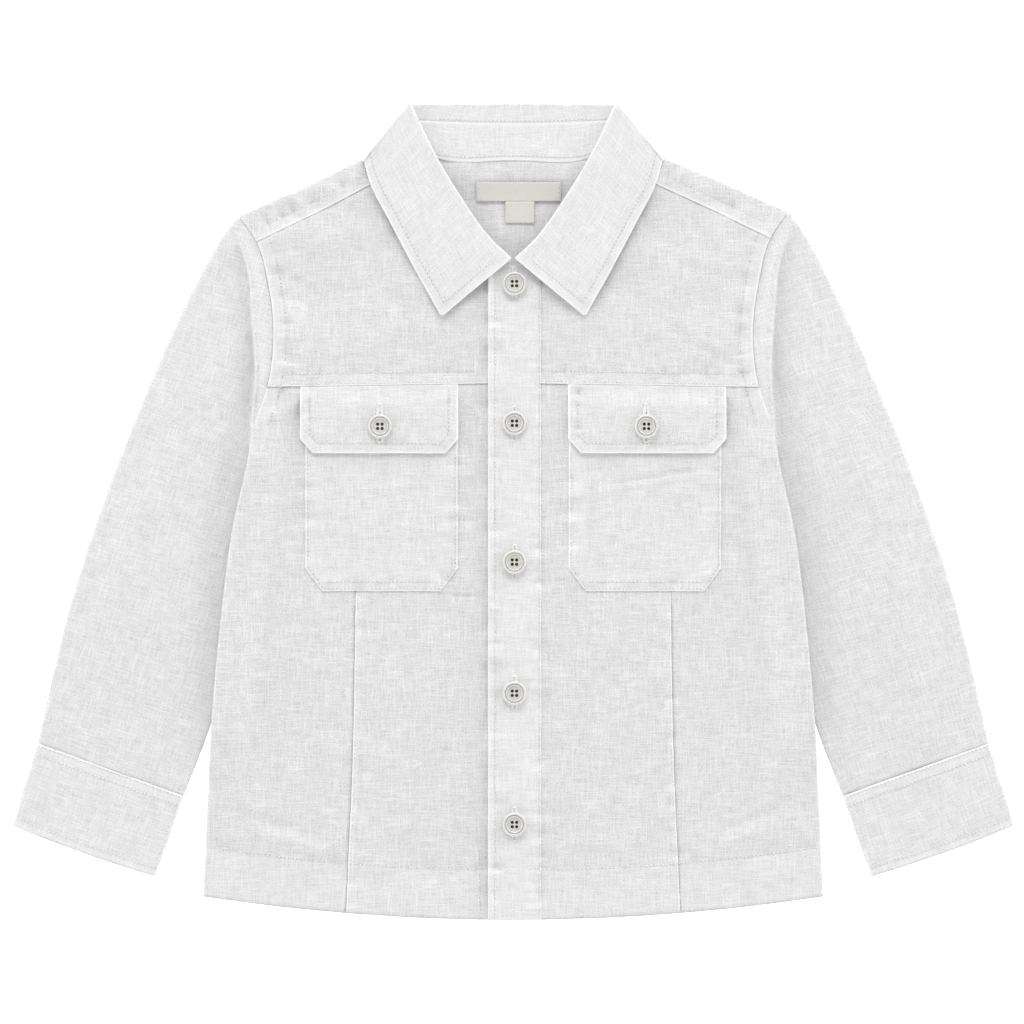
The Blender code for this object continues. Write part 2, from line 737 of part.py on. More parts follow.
def collar_stations(front_shares):
    """Stations along half the collar, from the centre back round to the front end.

    Each has a core point on the roll line, the way up the collar, the way out of
    the fold, the fall's width, the stand seam's distance, the drop of the fall's
    edge, and the point on the neck seam.
    """
    roll = Curve(*ROLL_POINTS)
    edge = Curve(*FALL_EDGE_POINTS)
    corner = roll.points[-1]
    corner_edge = edge.points[-1]
    neck_end = NECK_SIDE + STAND_CLEAR * unit(NECK_SIDE - TIP)
    back_neck = Curve(neck_end, BACK_NECK_POINT, (0.0, BACK_NECK_CENTRE))
    front_neck = Curve(*FRONT_NECK_POINTS[1:], neck_end)
    up_side = unit(corner - corner_edge)
    out_side = np.array([up_side[1], -up_side[0]])
    stations = []

    for share in COLLAR_BACK_STATIONS:
        core = corner + share * (np.array([0.0, ROLL_BACK]) - corner)
        foot = corner_edge + share * (np.array([0.0, FALL_BACK_EDGE]) - corner_edge)
        seam = STAND_SEAM_SIDE + share * (STAND_SEAM_BACK - STAND_SEAM_SIDE)
        neck = raised(back_neck.at(share), back_level)
        stations.append((core, core - foot, (0.0, 0.0, -1.0), seam, 0.0, neck))

    neck_low = raised(neck_end, back_level)
    neck_high = raised(neck_end, front_level)
    for degrees in COLLAR_TURN:
        angle = math.radians(degrees)
        outward = (*(math.sin(angle) * out_side), math.cos(angle))
        neck = (neck_low + neck_high) / 2 + math.cos(angle) * (neck_high - neck_low) / 2
        neck[:2] += SHOULDER_FOLD * math.sin(angle) * SHOULDER_OUT
        stations.append((corner, corner - corner_edge, outward, STAND_SEAM_SIDE, 0.0, neck))

    for share in front_shares:
        core = roll.at(share)
        seam = STAND_SEAM_FRONT + share * (STAND_SEAM_SIDE - STAND_SEAM_FRONT)
        drop = FALL_DROP_POINT + share * (FALL_DROP_SIDE - FALL_DROP_POINT)
        neck = raised(front_neck.at(share), front_level)
        stations.append((core, core - edge.at(share), (0.0, 0.0, 1.0), seam, drop, neck))
    return stations


def both_halves(half):
    """Strip grid of the whole collar from its +X half, whose first row is the centre back."""
    return np.concatenate([mirrored(half[:0:-1], -1), half])


def make_collar_fall(linen):
    """Fall: from the stand seam over the roll to the free edge, round the neck to both points."""
    rows = []
    for core, rise, outward, seam, drop, _ in collar_stations(FALL_FRONT_STATIONS):
        width = np.linalg.norm(rise)
        up = np.array([*unit(rise), 0.0])
        out = np.array(outward)
        base = np.array([*core, COLLAR_CORE])
        row = []
        for share in FALL_ROWS:
            fall = base - share * width * up + FALL_OFFSET * out
            row.append(fall - (0.0, 0.0, drop * share ** 2))
        for angle in HALF_TURN:
            middle = (FALL_OFFSET + STAND_OFFSET) / 2 + ROLL_RADIUS * math.cos(angle)
            row.append(base + ROLL_RADIUS * math.sin(angle) * up + middle * out)
        row.append(base - seam * up + STAND_OFFSET * out)
        rows.append(row)
    return sheet("collar_fall", [both_halves(np.array(rows))], FACED_CLOTH, linen)


def make_collar_stand(linen):
    """Stand: between the neck seam and the fall, hidden in front under the fall."""
    rows = []
    for core, rise, outward, seam, _, neck in collar_stations(STAND_FRONT_STATIONS):
        up = np.array([*unit(rise), 0.0])
        out = np.array(outward)
        top = np.array([*core, COLLAR_CORE]) - (seam + NECK_SEAM_GAP) * up + STAND_OFFSET * out
        foot = neck + NECK_SEAM_GAP * unit(top - neck)
        rows.append([foot + share * (top - foot) for share in STAND_ROWS])
    return sheet("collar_stand", [both_halves(np.array(rows))], FACED_CLOTH, linen)


def make_placket(linen):
    """Button placket: a band down the wearer's left front, over both fronts' edges."""
    columns = PLACKET_X + PLACKET_WIDTH * PLACKET_COLUMNS
    neck = Curve(*FRONT_NECK_POINTS).points
    top = np.interp(np.abs(columns), neck[:, 0], neck[:, 1])
    bottom = hem_height(columns)
    heights = bottom + np.linspace(0.0, 1.0, PLACKET_ROWS)[:, None] * (top - bottom)
    plan = np.stack([np.broadcast_to(columns, heights.shape), heights], axis=-1)
    grid = raised(plan, front_level, ON_FRONT + BAND_CLOTH / 2)
    return sheet("placket", [grid], BAND_CLOTH, linen)


def cut_corner_plan(centre, width, top, bottom, corner, side, rows):
    """Plan of a patch with two cut lower corners, from its lower edge up."""
    half = width / 2
    corner_x, corner_y = corner
    offsets = np.array([-half, corner_x - half, -half / 3, half / 3, half - corner_x, half])
    columns = side * centre + offsets
    lower = np.array([corner_y, 0.0, 0.0, 0.0, 0.0, corner_y]) + bottom
    upper = top(columns)
    heights = lower + np.linspace(0.0, 1.0, rows)[:, None] * (upper - lower)
    return np.stack([np.broadcast_to(columns, heights.shape), heights], axis=-1)


def make_pocket(name, side, linen):
    """Patch pocket on the front, its top hidden under the flap."""
    def top(x):
        return np.full(len(x), POCKET_TOP)

    plan = cut_corner_plan(POCKET_X, POCKET_WIDTH, top, POCKET_BOTTOM, POCKET_CORNER, side, POCKET_ROWS)
    grid = raised(plan, front_level, ON_FRONT + CLOTH / 2)
    return sheet(name, [grid], CLOTH, linen)


def make_flap(name, side, linen):
    """Pocket flap: set into the chest seam, then riding up over the pocket's top edge."""
    def top(x):
        return yoke_height(x) - SEAM_GAP

    bottom = float(yoke_height(np.array(FLAP_X))) - FLAP_DEPTH
    plan = cut_corner_plan(FLAP_X, FLAP_WIDTH, top, bottom, FLAP_CORNER, side, FLAP_ROWS)
    on_panel = ON_FRONT + FACED_CLOTH / 2
    climb = smooth((top(plan[..., 0]) - plan[..., 1]) / FLAP_RAMP)
    grid = raised(plan, front_level, on_panel)
    grid[..., 2] += climb * (CLOTH + SEAM_GAP)
    return sheet(name, [grid], FACED_CLOTH, linen)


def make_label(name, centre_x, top, size, material):
    """Small woven label lying on the inside of the back."""
    width, depth = size
    columns = centre_x + width * np.linspace(-0.5, 0.5, LABEL_COLUMNS)
    rows = top - depth * np.linspace(1.0, 0.0, LABEL_ROWS)
    plan = np.stack(np.meshgrid(columns, rows), axis=-1)
    grid = raised(plan, back_level, LABEL_CLEAR + CLOTH)
    return sheet(name, [grid], CLOTH, material)


def button_mesh():
    """Turned four-hole button: a rim round a sunk middle, with the holes cut through."""
    form = bmesh.new()
    rings = []
    turn = np.linspace(0.0, 2 * math.pi, BUTTON_SEGMENTS, endpoint=False)
    for radius, height in BUTTON_PROFILE:
        circle = [radius * np.cos(turn), radius * np.sin(turn), np.full(len(turn), height)]
        ring = np.stack(circle, axis=-1)
        rings.append([form.verts.new(point * MM) for point in ring])
    for low, high in zip(rings, rings[1:]):
        for index in range(BUTTON_SEGMENTS):
            after = (index + 1) % BUTTON_SEGMENTS
            form.faces.new((low[index], low[after], high[after], high[index]))
    form.faces.new(rings[0][::-1])
    form.faces.new(rings[-1])
    blank_mesh = bpy.data.meshes.new("button_blank")
    form.to_mesh(blank_mesh)
    form.free()

    form = bmesh.new()
    for x in (-BUTTON_HOLE_PLACE, BUTTON_HOLE_PLACE):
        for y in (-BUTTON_HOLE_PLACE, BUTTON_HOLE_PLACE):
            made = bmesh.ops.create_cone(
                form,
                cap_ends=True,
                segments=BUTTON_HOLE_SIDES,
                radius1=BUTTON_HOLE_RADIUS * MM,
                radius2=BUTTON_HOLE_RADIUS * MM,
                depth=BUTTON_DRILL_LENGTH * MM,
            )
            bmesh.ops.translate(form, verts=made["verts"], vec=(x * MM, y * MM, 0.0))
    drill_mesh = bpy.data.meshes.new("button_drill")
    form.to_mesh(drill_mesh)
    form.free()

    blank = bpy.data.objects.new("button_blank", blank_mesh)
    drill = bpy.data.objects.new("button_drill", drill_mesh)
    for item in (blank, drill):
        bpy.context.scene.collection.objects.link(item)
    cut = blank.modifiers.new("holes", "BOOLEAN")
    cut.operation = "DIFFERENCE"
    cut.object = drill
    shown = blank.evaluated_get(bpy.context.evaluated_depsgraph_get())
    mesh = bpy.data.meshes.new_from_object(shown)
    for item in (blank, drill):
        bpy.data.objects.remove(item, do_unlink=True)
    return mesh


def make_buttons(resin):
    """Buttons down the placket and one on each flap, resting just above the cloth."""
    mesh = button_mesh()
    on_placket = ON_FRONT + BAND_CLOTH + SEAM_GAP
    on_flap = ON_FRONT + CLOTH + SEAM_GAP + FACED_CLOTH + SEAM_GAP
    places = [
        (f"button_placket_{index}", PLACKET_X, height, on_placket)
        for index, height in enumerate(PLACKET_BUTTONS, start=1)]
    for side, word in ((1, "left"), (-1, "right")):
        places.append((f"button_flap_{word}", side * FLAP_BUTTON[0], FLAP_BUTTON[1], on_flap))
    for name, x, y, offset in places:
        item = add_object(name, mesh.copy(), resin)
        level = float(front_level(np.array(x), np.array(y)))
        item.location = (x * MM, y * MM, (level + offset) * MM)


def main():
    for item in list(bpy.data.objects):
        bpy.data.objects.remove(item, do_unlink=True)
    linen = plain_material("linen", (0.80, 0.80, 0.815), 0.9)
    woven_label = plain_material("label_weave", (0.79, 0.76, 0.70), 0.8)
    resin = plain_material("button_resin", (0.82, 0.80, 0.76), 0.35)

    make_back(linen)
    for side, word, front_edge in ((1, "left", LEFT_FRONT_EDGE), (-1, "right", -RIGHT_FRONT_EDGE)):
        make_yoke(f"front_yoke_{word}", side, front_edge, linen)
        make_centre_front(f"front_centre_{word}", side, front_edge, linen)
        make_side_front(f"front_side_{word}", side, linen)
        make_sleeve(f"sleeve_{word}", side, linen)
        make_cuff(f"cuff_{word}", side, linen)
        make_pocket(f"pocket_{word}", side, linen)
        make_flap(f"pocket_flap_{word}", side, linen)
    make_placket(linen)
    make_collar_stand(linen)
    make_collar_fall(linen)
    label_top = LABEL_PLACE[1] + LABEL_SIZE[1] / 2
    make_label("label", LABEL_PLACE[0], label_top, LABEL_SIZE, woven_label)
    make_label("size_tab", TAB_X, label_top - LABEL_SIZE[1] - SEAM_GAP, TAB_SIZE, woven_label)
    make_buttons(resin)


main()
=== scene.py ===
"""Looks of a small child's linen jacket, buttoned up and laid flat on its back.

Sizes are in millimetres, and MM turns them into metres. The jacket lies on the
plane z = 0 with its front up: +X is the wearer's left, +Y runs from the hem to
the collar. Tables give one side as (half width, height) and are mirrored for
the other. Each cloth piece is a middle surface on a grid of points, which gets
two faces and a half-round rim.
"""

import math

import bmesh
import bpy
import numpy as np
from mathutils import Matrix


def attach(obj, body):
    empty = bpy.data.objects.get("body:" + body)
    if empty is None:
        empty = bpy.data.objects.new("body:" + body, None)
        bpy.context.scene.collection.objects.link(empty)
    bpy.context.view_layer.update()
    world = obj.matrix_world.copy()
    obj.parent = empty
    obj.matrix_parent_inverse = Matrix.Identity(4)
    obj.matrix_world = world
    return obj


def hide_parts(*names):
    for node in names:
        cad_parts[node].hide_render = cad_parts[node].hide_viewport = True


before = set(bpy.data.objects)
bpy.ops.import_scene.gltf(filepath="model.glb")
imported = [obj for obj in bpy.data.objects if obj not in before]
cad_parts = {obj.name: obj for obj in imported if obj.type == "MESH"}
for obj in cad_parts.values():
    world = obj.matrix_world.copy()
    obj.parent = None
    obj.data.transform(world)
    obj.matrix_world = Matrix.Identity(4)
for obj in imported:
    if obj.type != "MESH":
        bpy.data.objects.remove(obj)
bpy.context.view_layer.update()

MM = 0.001
GRID = 1.5
FINE_GRID = 1.1

# Walls and the levels of their middles above the surface
CLOTH = 1.0
FACED_CLOTH = 1.2
BAND_CLOTH = 1.4
LABEL_CLOTH = 0.5
POCKET_CLOTH = 0.6
FLAP_CLOTH = 0.9
SEAM_GAP = 0.04
NECK_SEAM_GAP = -0.3
STAND_FOOT_RISE = 0.7
STAND_SEAM_GAP = -0.15
ARMHOLE_GAP = 0.05
LAYER_GAP = 0.1
BACK_LEVEL = CLOTH / 2
LAYER_STEP = 1.9
FRONT_LEVEL = BACK_LEVEL + LAYER_STEP
ON_FRONT = CLOTH / 2 + LAYER_GAP

# Body
BODY_LENGTH_BELOW = 194.8
HEM_HALF = 148.0
HEM_RISE = 11.2
BACK_SHORTER = 1.0
BACK_CLEAR = 0.4
SHOULDER_TIP = (130.7, 141.6)
SHOULDER_NECK = (52.9, 176.4)
SEAM_NECK_END = (53.5, 162.5)
SEAM_SLEEVE_END = (122.4, 129.0)
YOKE_SEAM_CENTRE = 60.9
YOKE_SEAM_ARMHOLE = 59.0
RIGHT_FRONT_EDGE = 5.0
LEFT_FRONT_EDGE = 6.0
EDGE_BEND = 1.0
UNDERARM_BEND = 0.7
UNDERARM_BLEND = 6.0
LIP_LEAST = 0.06

ARMHOLE_POINTS = (
    # half width, height
    (122.3, 128.8),
    (117.2, 110.0),
    (114.2, 85.7),
    (116.9, 59.0),
)
SIDE_POINTS = (
    # half width, height
    (123.8, 41.4),
    (126.1, 25.2),
    (133.0, -6.2),
    (139.5, -56.6),
    (143.5, -101.4),
    (148.0, -183.4),
)
FRONT_SEAM_POINTS = (
    # half width, height
    (74.6, 60.0),
    (75.2, -38.6),
    (76.5, -113.8),
    (79.7, -190.4),
)

# Where the body lies over the sleeve its edge is raised by these amounts
EDGE_RISE = (
    # height, rise of the front, rise of the back
    (-131.0, 0.0, 0.0),
    (-104.0, 4.8, 3.3),
    (27.0, 4.8, 3.3),
    (41.4, 3.0, 0.0),
    (64.0, 2.4, 0.0),
    (112.0, 0.0, 0.0),
)
RISE_NEAR = 7.0
RISE_FAR = 22.0

# Low soft folds of the cloth, as in the solids
FOLDS = (
    # x, y, direction in degrees, half length, half width, height
    (-112.0, -62.0, 62.0, 42.0, 11.0, 0.7),
    (108.0, -78.0, 112.0, 46.0, 12.0, 0.7),
    (-46.0, -118.0, 80.0, 44.0, 12.0, 0.5),
    (50.0, -104.0, 96.0, 40.0, 12.0, 0.5),
    (-168.0, 12.0, 58.0, 40.0, 11.0, 0.8),
    (-190.0, -52.0, 74.0, 34.0, 10.0, 0.7),
    (166.0, 20.0, 124.0, 44.0, 11.0, 0.8),
    (188.0, -60.0, 108.0, 36.0, 10.0, 0.7),
)

# Finer creases of the cloth: ridges are positive and troughs negative
CREASES = (
    # x, y, direction in degrees, half length, half width, height
    (61.0, 12.6, 10.0, 17.0, 1.1, 0.30),
    (63.0, 15.2, 9.0, 15.0, 1.4, -0.18),
    (80.0, 18.6, 8.0, 7.0, 1.2, -0.30),
    (46.0, 13.0, -52.0, 6.0, 1.0, 0.16),
    (99.0, 73.0, -30.0, 12.0, 2.2, -0.35),
    (97.0, 77.5, -28.0, 14.0, 2.6, 0.30),
    (106.0, 47.0, -40.0, 7.0, 1.6, -0.30),
    (100.0, 50.0, -20.0, 7.0, 1.6, 0.22),
    (-106.0, 50.0, 32.0, 7.0, 1.8, 0.25),
    (-104.0, 44.0, 28.0, 8.0, 1.8, -0.25),
    (-62.0, 11.0, 4.0, 16.0, 1.4, 0.16),
    (-60.0, -14.0, -3.0, 18.0, 1.6, -0.14),
    (-88.0, 128.0, 18.0, 18.0, 3.0, 0.22),
    (-78.0, 104.0, -10.0, 20.0, 3.0, -0.18),
    (84.0, 120.0, -14.0, 18.0, 3.0, 0.20),
    (-104.0, -158.0, -14.0, 22.0, 3.4, 0.40),
    (-112.0, -150.0, -20.0, 20.0, 3.0, -0.35),
    (-126.0, -140.0, -34.0, 16.0, 3.2, 0.30),
    (112.0, -154.0, 16.0, 20.0, 3.4, 0.30),
    (122.0, -143.0, 26.0, 16.0, 3.0, -0.26),
    (-36.0, -150.0, 6.0, 20.0, 3.0, 0.20),
    (40.0, -158.0, -5.0, 20.0, 3.0, 0.22),
    (-24.0, -58.0, 4.0, 12.0, 2.4, -0.22),
    (30.0, -44.0, -8.0, 12.0, 2.4, -0.20),
    (-24.0, -40.2, -3.0, 11.0, 1.0, -0.34),
    (19.0, -40.0, 6.0, 8.0, 1.1, -0.22),
    (-104.0, -40.0, 76.0, 34.0, 5.0, -0.30),
    (106.0, -52.0, 104.0, 36.0, 5.0, -0.30),
)
SLEEVE_CREASES = (
    # half width, height, direction in degrees, half length, half width, height
    (134.0, 122.0, 112.0, 12.0, 2.0, 0.5),
    (139.0, 112.0, 118.0, 16.0, 2.6, -0.6),
    (150.0, 60.0, 104.0, 34.0, 6.0, -0.5),
    (160.0, 40.0, 108.0, 40.0, 8.0, 0.6),
    (172.0, -8.0, 118.0, 20.0, 4.0, -0.35),
    (186.0, -30.0, 112.0, 34.0, 7.0, 0.45),
    (176.0, -84.0, 100.0, 22.0, 5.0, -0.35),
    (198.0, -96.0, 112.0, 20.0, 5.0, 0.35),
)

# Random swell of the cloth
SWELL = (
    # wavelength, height
    (27.0, 0.36),
    (11.0, 0.26),
    (5.0, 0.06),
)

# Sleeve and cuff
SLEEVE_OUTER_POINTS = (
    # half width, height
    (137.3, 133.8),
    (155.4, 100.4),
    (176.6, 52.8),
    (195.1, 5.2),
    (210.5, -42.4),
    (226.8, -110.4),
)
SLEEVE_INNER_POINTS = (
    # half width, height
    (122.0, 38.2),
    (123.4, 28.0),
    (123.6, 14.0),
    (126.0, -6.0),
    (130.5, -40.0),
    (137.0, -75.0),
    (144.0, -101.4),
    (156.9, -135.6),
)
CREASE_POINTS = (
    # half width, height
    (133.0, 137.4),
    (126.8, 122.0),
    (122.8, 90.0),
    (121.6, 66.0),
    (123.4, 40.2),
)
CREASE_FOOT = 1.8
CREASE_RIDGE = 2.2
CREASE_INSIDE = 5.0
CREASE_TROUGH = 0.4
CREASE_TOP = 140.0
CREASE_TOP_FADE = 25.0
CREASE_START = 6.0
SLEEVE_SWELL = 0.85
SLEEVE_CALM = 2.0
SLEEVE_CALM_RUN = 10.0
SLEEVE_EDGE_CELLS = (0.0, 0.03, 0.1, 0.2, 0.34, 0.5, 0.72, 1.0)
SLEEVE_EDGE_MOST = 0.35
SLEEVE_TIP_CLEAR = (1.0, 0.2)
SLEEVE_UNDERARM_CLEAR = (-1.6, 0.0)
CUFF_TOP_OUTER = (226.8, -110.4)
CUFF_TOP_INNER = (156.9, -135.6)
CUFF_END_OUTER = (238.7, -149.6)
CUFF_END_INNER = (170.4, -174.0)
CUFF_END_BOW = 1.2
CUFF_WIDTH = 72.5
CUFF_RUN = 72.0
CUFF_DEPTH = 40.0
CUFF_SWELL = 1.6
CUFF_GROOVE = 0.5
CUFF_PUCKER_LENGTH = 9.0
CUFF_EDGE_CELLS = (0.0, 0.04, 0.12, 0.24, 0.42, 0.66, 1.0)
CREASE_END = 24.0
CREASE_FADE = 14.0
SLEEVE_LOFT = 1.6
LOFT_START = 7.2
LOFT_RUN = 12.0
LOFT_HALF = 34.0
LOFT_HEIGHT = 10.0
LOFT_LENGTH = 50.0
EDGE_ROUND = 2.2
SLEEVE_CLOTH = 0.7
SLEEVE_LOW = SLEEVE_CLOTH / 2
SLEEVE_PRESS = 1.1
SLEEVE_PRESS_RUN = 16.0

# Collar
COLLAR_CORE = 3.3
FALL_OFFSET = 2.7
STAND_OFFSET = 0.9
ROLL_RADIUS = (FALL_OFFSET - STAND_OFFSET) / 2
ROLL_BACK = 192.7
FALL_BACK_EDGE = 162.0
FALL_DROP_POINT = 2.0
FALL_DROP_SIDE = 0.3
STAND_SEAM_BACK = 8.0
STAND_SEAM_SIDE = 7.8
STAND_SEAM_FRONT = 1.2
STAND_FRONT_END = 0.2
STAND_CLEAR = 1.0
STAND_RIPPLE = 0.10
FALL_TOP = 0.04
FALL_CALM = 0.2
FALL_ROW_END = 0.93
FOLD_SHARE = 0.3
POINT_BLUNT = 0.4
COLLAR_SWELL = 2.0
COLLAR_PUCKER = 0.24
COLLAR_PUCKER_LENGTH = 8.0
COLLAR_GROOVE = 0.10
NECK_RISE = 1.7
NECK_RISE_RUN = 14.0
NECK_RISE_HALF = 72.0
NECK_RISE_SIDE = 15.0
ROLL_POINTS = (
    # half width, height
    (1.7, 119.2),
    (11.9, 129.0),
    (25.2, 147.5),
    (36.6, 166.1),
    (49.6, 192.6),
)
FALL_EDGE_POINTS = (
    # half width, height
    (34.2, 92.4),
    (47.2, 115.7),
    (58.2, 136.6),
    (68.6, 157.6),
    (70.9, 166.4),
)
FRONT_NECK_POINTS = (
    # half width, height
    (0.0, 116.6),
    (13.2, 121.8),
    (25.4, 129.0),
    (38.0, 138.6),
    (48.0, 150.6),
    SEAM_NECK_END,
)
BACK_NECK_CENTRE = 167.3
BACK_NECK_POINT = (36.0, 168.2)

# Placket, pockets, flaps and label
PLACKET_WIDTH = 25.2
PLACKET_X = 0.6
PLACKET_FLUSH = 9.0
PLACKET_THINNER = 0.9
PLACKET_LIFT = 1.2
PLACKET_LIFT_RUN = 6.0
POCKET_X = 62.7
POCKET_WIDTH = 72.5
POCKET_TOP = 52.0
POCKET_BOTTOM = -38.1
POCKET_CORNER = (8.1, 10.9)
FLAP_X = 63.8
FLAP_WIDTH = 75.3
FLAP_DEPTH = 32.4
FLAP_CORNER = (6.2, 6.9)
FLAP_RAMP = 10.0
FLAP_START = 0.3
FLAP_LIFT = 0.6
FLAP_LIFT_RUN = 14.0
SEAM_RIDGE = 0.5
SEAM_RIDGE_RUN = 4.0
LABEL_SIZE = (40.4, 9.0)
LABEL_PLACE = (2.6, 152.1)
TAB_SIZE = (13.9, 10.4)
TAB_X = 3.2
LABEL_CLEAR = 0.7
LABEL_INSET = 0.9
LABEL_SAG = 0.10

# Buttons and buttonholes
BUTTON_SEGMENTS = 64
BUTTON_HOLE_PLACE = 1.04
BUTTON_HOLE_RADIUS = 0.8
BUTTON_HOLE_SIDES = 20
BUTTON_DRILL_LENGTH = 8.0
BUTTON_SHARP = 40.0
BUTTON_PROFILE = (
    # radius, height
    (4.7, 0.0),
    (5.45, 0.35),
    (5.7, 0.9),
    (5.68, 1.5),
    (5.5, 2.05),
    (5.2, 2.34),
    (4.95, 2.4),
    (4.72, 2.3),
    (4.5, 1.9),
    (4.38, 1.66),
    (4.22, 1.66),
    (4.08, 2.02),
    (3.84, 2.26),
    (3.62, 2.02),
    (3.46, 1.52),
    (3.32, 1.48),
    (2.6, 1.5),
)
# Disc of thread under each button, seen through its holes and painted dark as their shade
KNOT_SEGMENTS = 24
KNOT_PROFILE = (
    # radius, height
    (2.5, 0.06),
    (2.5, 0.5),
    (2.3, 0.75),
    (0.02, 0.8),
)
PLACKET_BUTTONS = (
    # height
    108.1,
    41.7,
    -24.3,
    -86.6,
    -149.0,
)
FLAP_BUTTON = (63.3, 40.2)
BUTTON_CLEAR = 0.15
# Buttonholes: length, rise over the button, half the slit, half width, share drawn in at the top
PLACKET_HOLE = (15.6, 0.0, 6.2, 0.75, 0.0)
FLAP_HOLE = (17.6, 1.6, 6.2, 1.15, 0.55)
HOLE_BEAD = 0.72
BEAD_RIDGE = 0.14
BEAD_STRAY = 0.05
BEAD_FLATNESS = 0.75
BEAD_TUCK = 0.05
SLIT_HALF_WIDTH = 0.525
SLIT_ROUND = 1.02
SLIT_RISE = 0.12
SLIT_WALL = 0.1

# Topstitching: rows lie this far inside the edges and seams
ARMHOLE_ROW = 6.2
ARMHOLE_ROW_END = 0.985
SHOULDER_ROW = 5.7
YOKE_ROW = 6.0
YOKE_ROW_START = 18.5
SEAM_ROW_END = 0.995
EDGE_ROW = 1.1
HEM_ROW = 23.8
FLAP_ROW = 4.6
POCKET_ROW = 4.3
COLLAR_ROW = 4.4
PLACKET_ROW = 3.3
CUFF_ROW = 5.2
CUFF_END_ROW = 3.8
CUFF_ROWS = (
    # distance below the sleeve, height of the puckers
    (1.0, 0.2),
    (CUFF_ROW, 0.3),
    (CUFF_DEPTH - CUFF_END_ROW, 0.3),
)
STITCH_PITCH = 1.9
STITCH_HALF = 0.8
STITCH_WAY = 0.3
THREAD_RADIUS = 0.24
THREAD_THINNER = 0.45
THREAD_RISE = 0.14
THREAD_SINK = 0.04
STITCH_STRAY = 0.06

# Puckers beside the rows of the cuffs and the collar
PUCKER_WAVE = 3.6
PUCKER_REACH = 3.6
ROW_GROOVE = 0.9

# Relief of the front: creases, puckers, more swell above the chest seam, less at the edges
CREASE_DEPTH = 2.6
PUCKER_DEPTH = 5.4
YOKE_SWELL = 1.4
YOKE_SWELL_RUN = 6.0
EDGE_RELIEF = 0.35
EDGE_RELIEF_RUN = 4.0

# Swell of the back where it shows inside the neck
NECK_VIEW_LOW = 112.0
NECK_VIEW_HALF = 64.0
NECK_VIEW_FADE = 12.0
NECK_SWELL = 1.2
NECK_SWELL_LEAST = -0.2

# The left shoulder lies further up than the right: how far, and where that starts and
# over what run it grows, outwards and upwards
SHOULDER_TILT = 1.1
TILT_START = (60.0, 90.0)
TILT_RUN = (40.0, 60.0)

# Rough lengths that the grids' points are counted from, and wider spacings
YOKE_LONG = 80.0
CENTRE_LONG = 254.0
CENTRE_WIDE = 74.0
SIDE_LONG = 225.0
SIDE_WIDE = 68.0
SIDE_ARMHOLE = 18.0
ARMHOLE_LONG = 104.0
SHOULDER_LONG = 85.0
BACK_NECK_LONG = 53.0
SHOULDER_LAP = 14.0
UNDERARM_LONG = 180.0
SLEEVE_WIDE = 84.0
COLLAR_FRONT = 88.0
COLLAR_BACK = 47.0
FALL_WIDE = 46.0
STAND_FRONT = 66.0
STAND_COLUMNS = 13
STAND_ROW_COLUMN = 10.6
FALL_ROW_COLUMN = 1.6
PLACKET_LONG = 316.0
BACK_GRID = 3.0
BACK_ARMHOLE_GRID = 2.0
LONG_GRID = 1.8
SLEEVE_GRID = 1.7
LABEL_GRID = 0.8
PATH_GRID = 0.5

# Where the grain of a piece starts, so that neighbours show other yarns
GRAIN_START = {
    "shoulder": 400.0,
    "sleeve": 900.0,
    "cuff": 300.0,
    "collar_fall": 1500.0,
    "collar_stand": 2100.0,
    "placket": 600.0,
    "pocket": 1100.0,
    "pocket_flap": 1300.0,
}

# Seeds of the random fields, and the size of their lattice
LATTICE = 64
FRONT_SEED = 11
PUCKER_SEED = 40
FINE_PUCKER_SEED = 100
BACK_SEED = 73
SLEEVE_SEED = 29
CUFF_SEED = 131
COLLAR_SEEDS = (211, 223)
STAND_SEED = 301
LABEL_SEED = 401
BEAD_SEED = 5

# Colours in sRGB
LINEN_DARK = "#b3b3b5"
LINEN = "#d1d1d2"
LINEN_LIGHT = "#e3e3e4"
LINEN_WHITE = "#ededed"
THREAD_COLOUR = "#ebebeb"
# Thread: grey of its fibres, and the painted shade at each stitch's ends
THREAD_GREY_AND_HOLE_SHADE = "#716e69"
LABEL_COLOUR = "#c7c4be"
LABEL_LIGHT = "#d4d1cb"
RESIN_COLOUR = "#cbc9c5"
RESIN_LIGHT = "#d6d5d1"
# Painted shade inside the buttons' holes and the buttonholes' slits
HOLE_SHADE_COLOUR = "#40382f"
HOLE_SHADE_PALER = "#5a5046"
FLOOR_COLOUR = "#f6f6f6"

# Doubled cloth looks whiter: how much, also for the painted highlights at edges, its share over a whole
# piece, and along rows and seams
DOUBLE_CLOTH = 0.275
SLEEVE_TONE = 0.2
CUFF_TONE = 0.4
POCKET_TONE = 0.3
FLAP_TONE = 0.35
PLACKET_TONE = 0.85
COLLAR_TONE = 0.7
BAND_FADE = 0.9
BAND_PAST = 1.0
ARMHOLE_DOUBLE = 0.65
ARMHOLE_FADE = 6.0
YOKE_DOUBLE = 0.3
HEM_DOUBLE = 0.45
SEAM_DOUBLE = 0.8
SHOULDER_DOUBLE = 0.15
CUFF_DOUBLE = 0.95
POCKET_DOUBLE = 0.6
POCKET_FACING = 9.0
FLAP_DOUBLE = 0.5
COLLAR_DOUBLE = 0.85

# Edges: seam cloth pressed into them with a painted highlight along them, the share of these at
# softer ones, the run over which they fade, and the painted shade at folds and bare edges
EDGE_LAYERS_AND_HIGHLIGHT = 3.2
SOFTER_EDGE = 0.7
EDGE_FADE = 0.5
PAINTED_EDGE_SHADE = 0.35


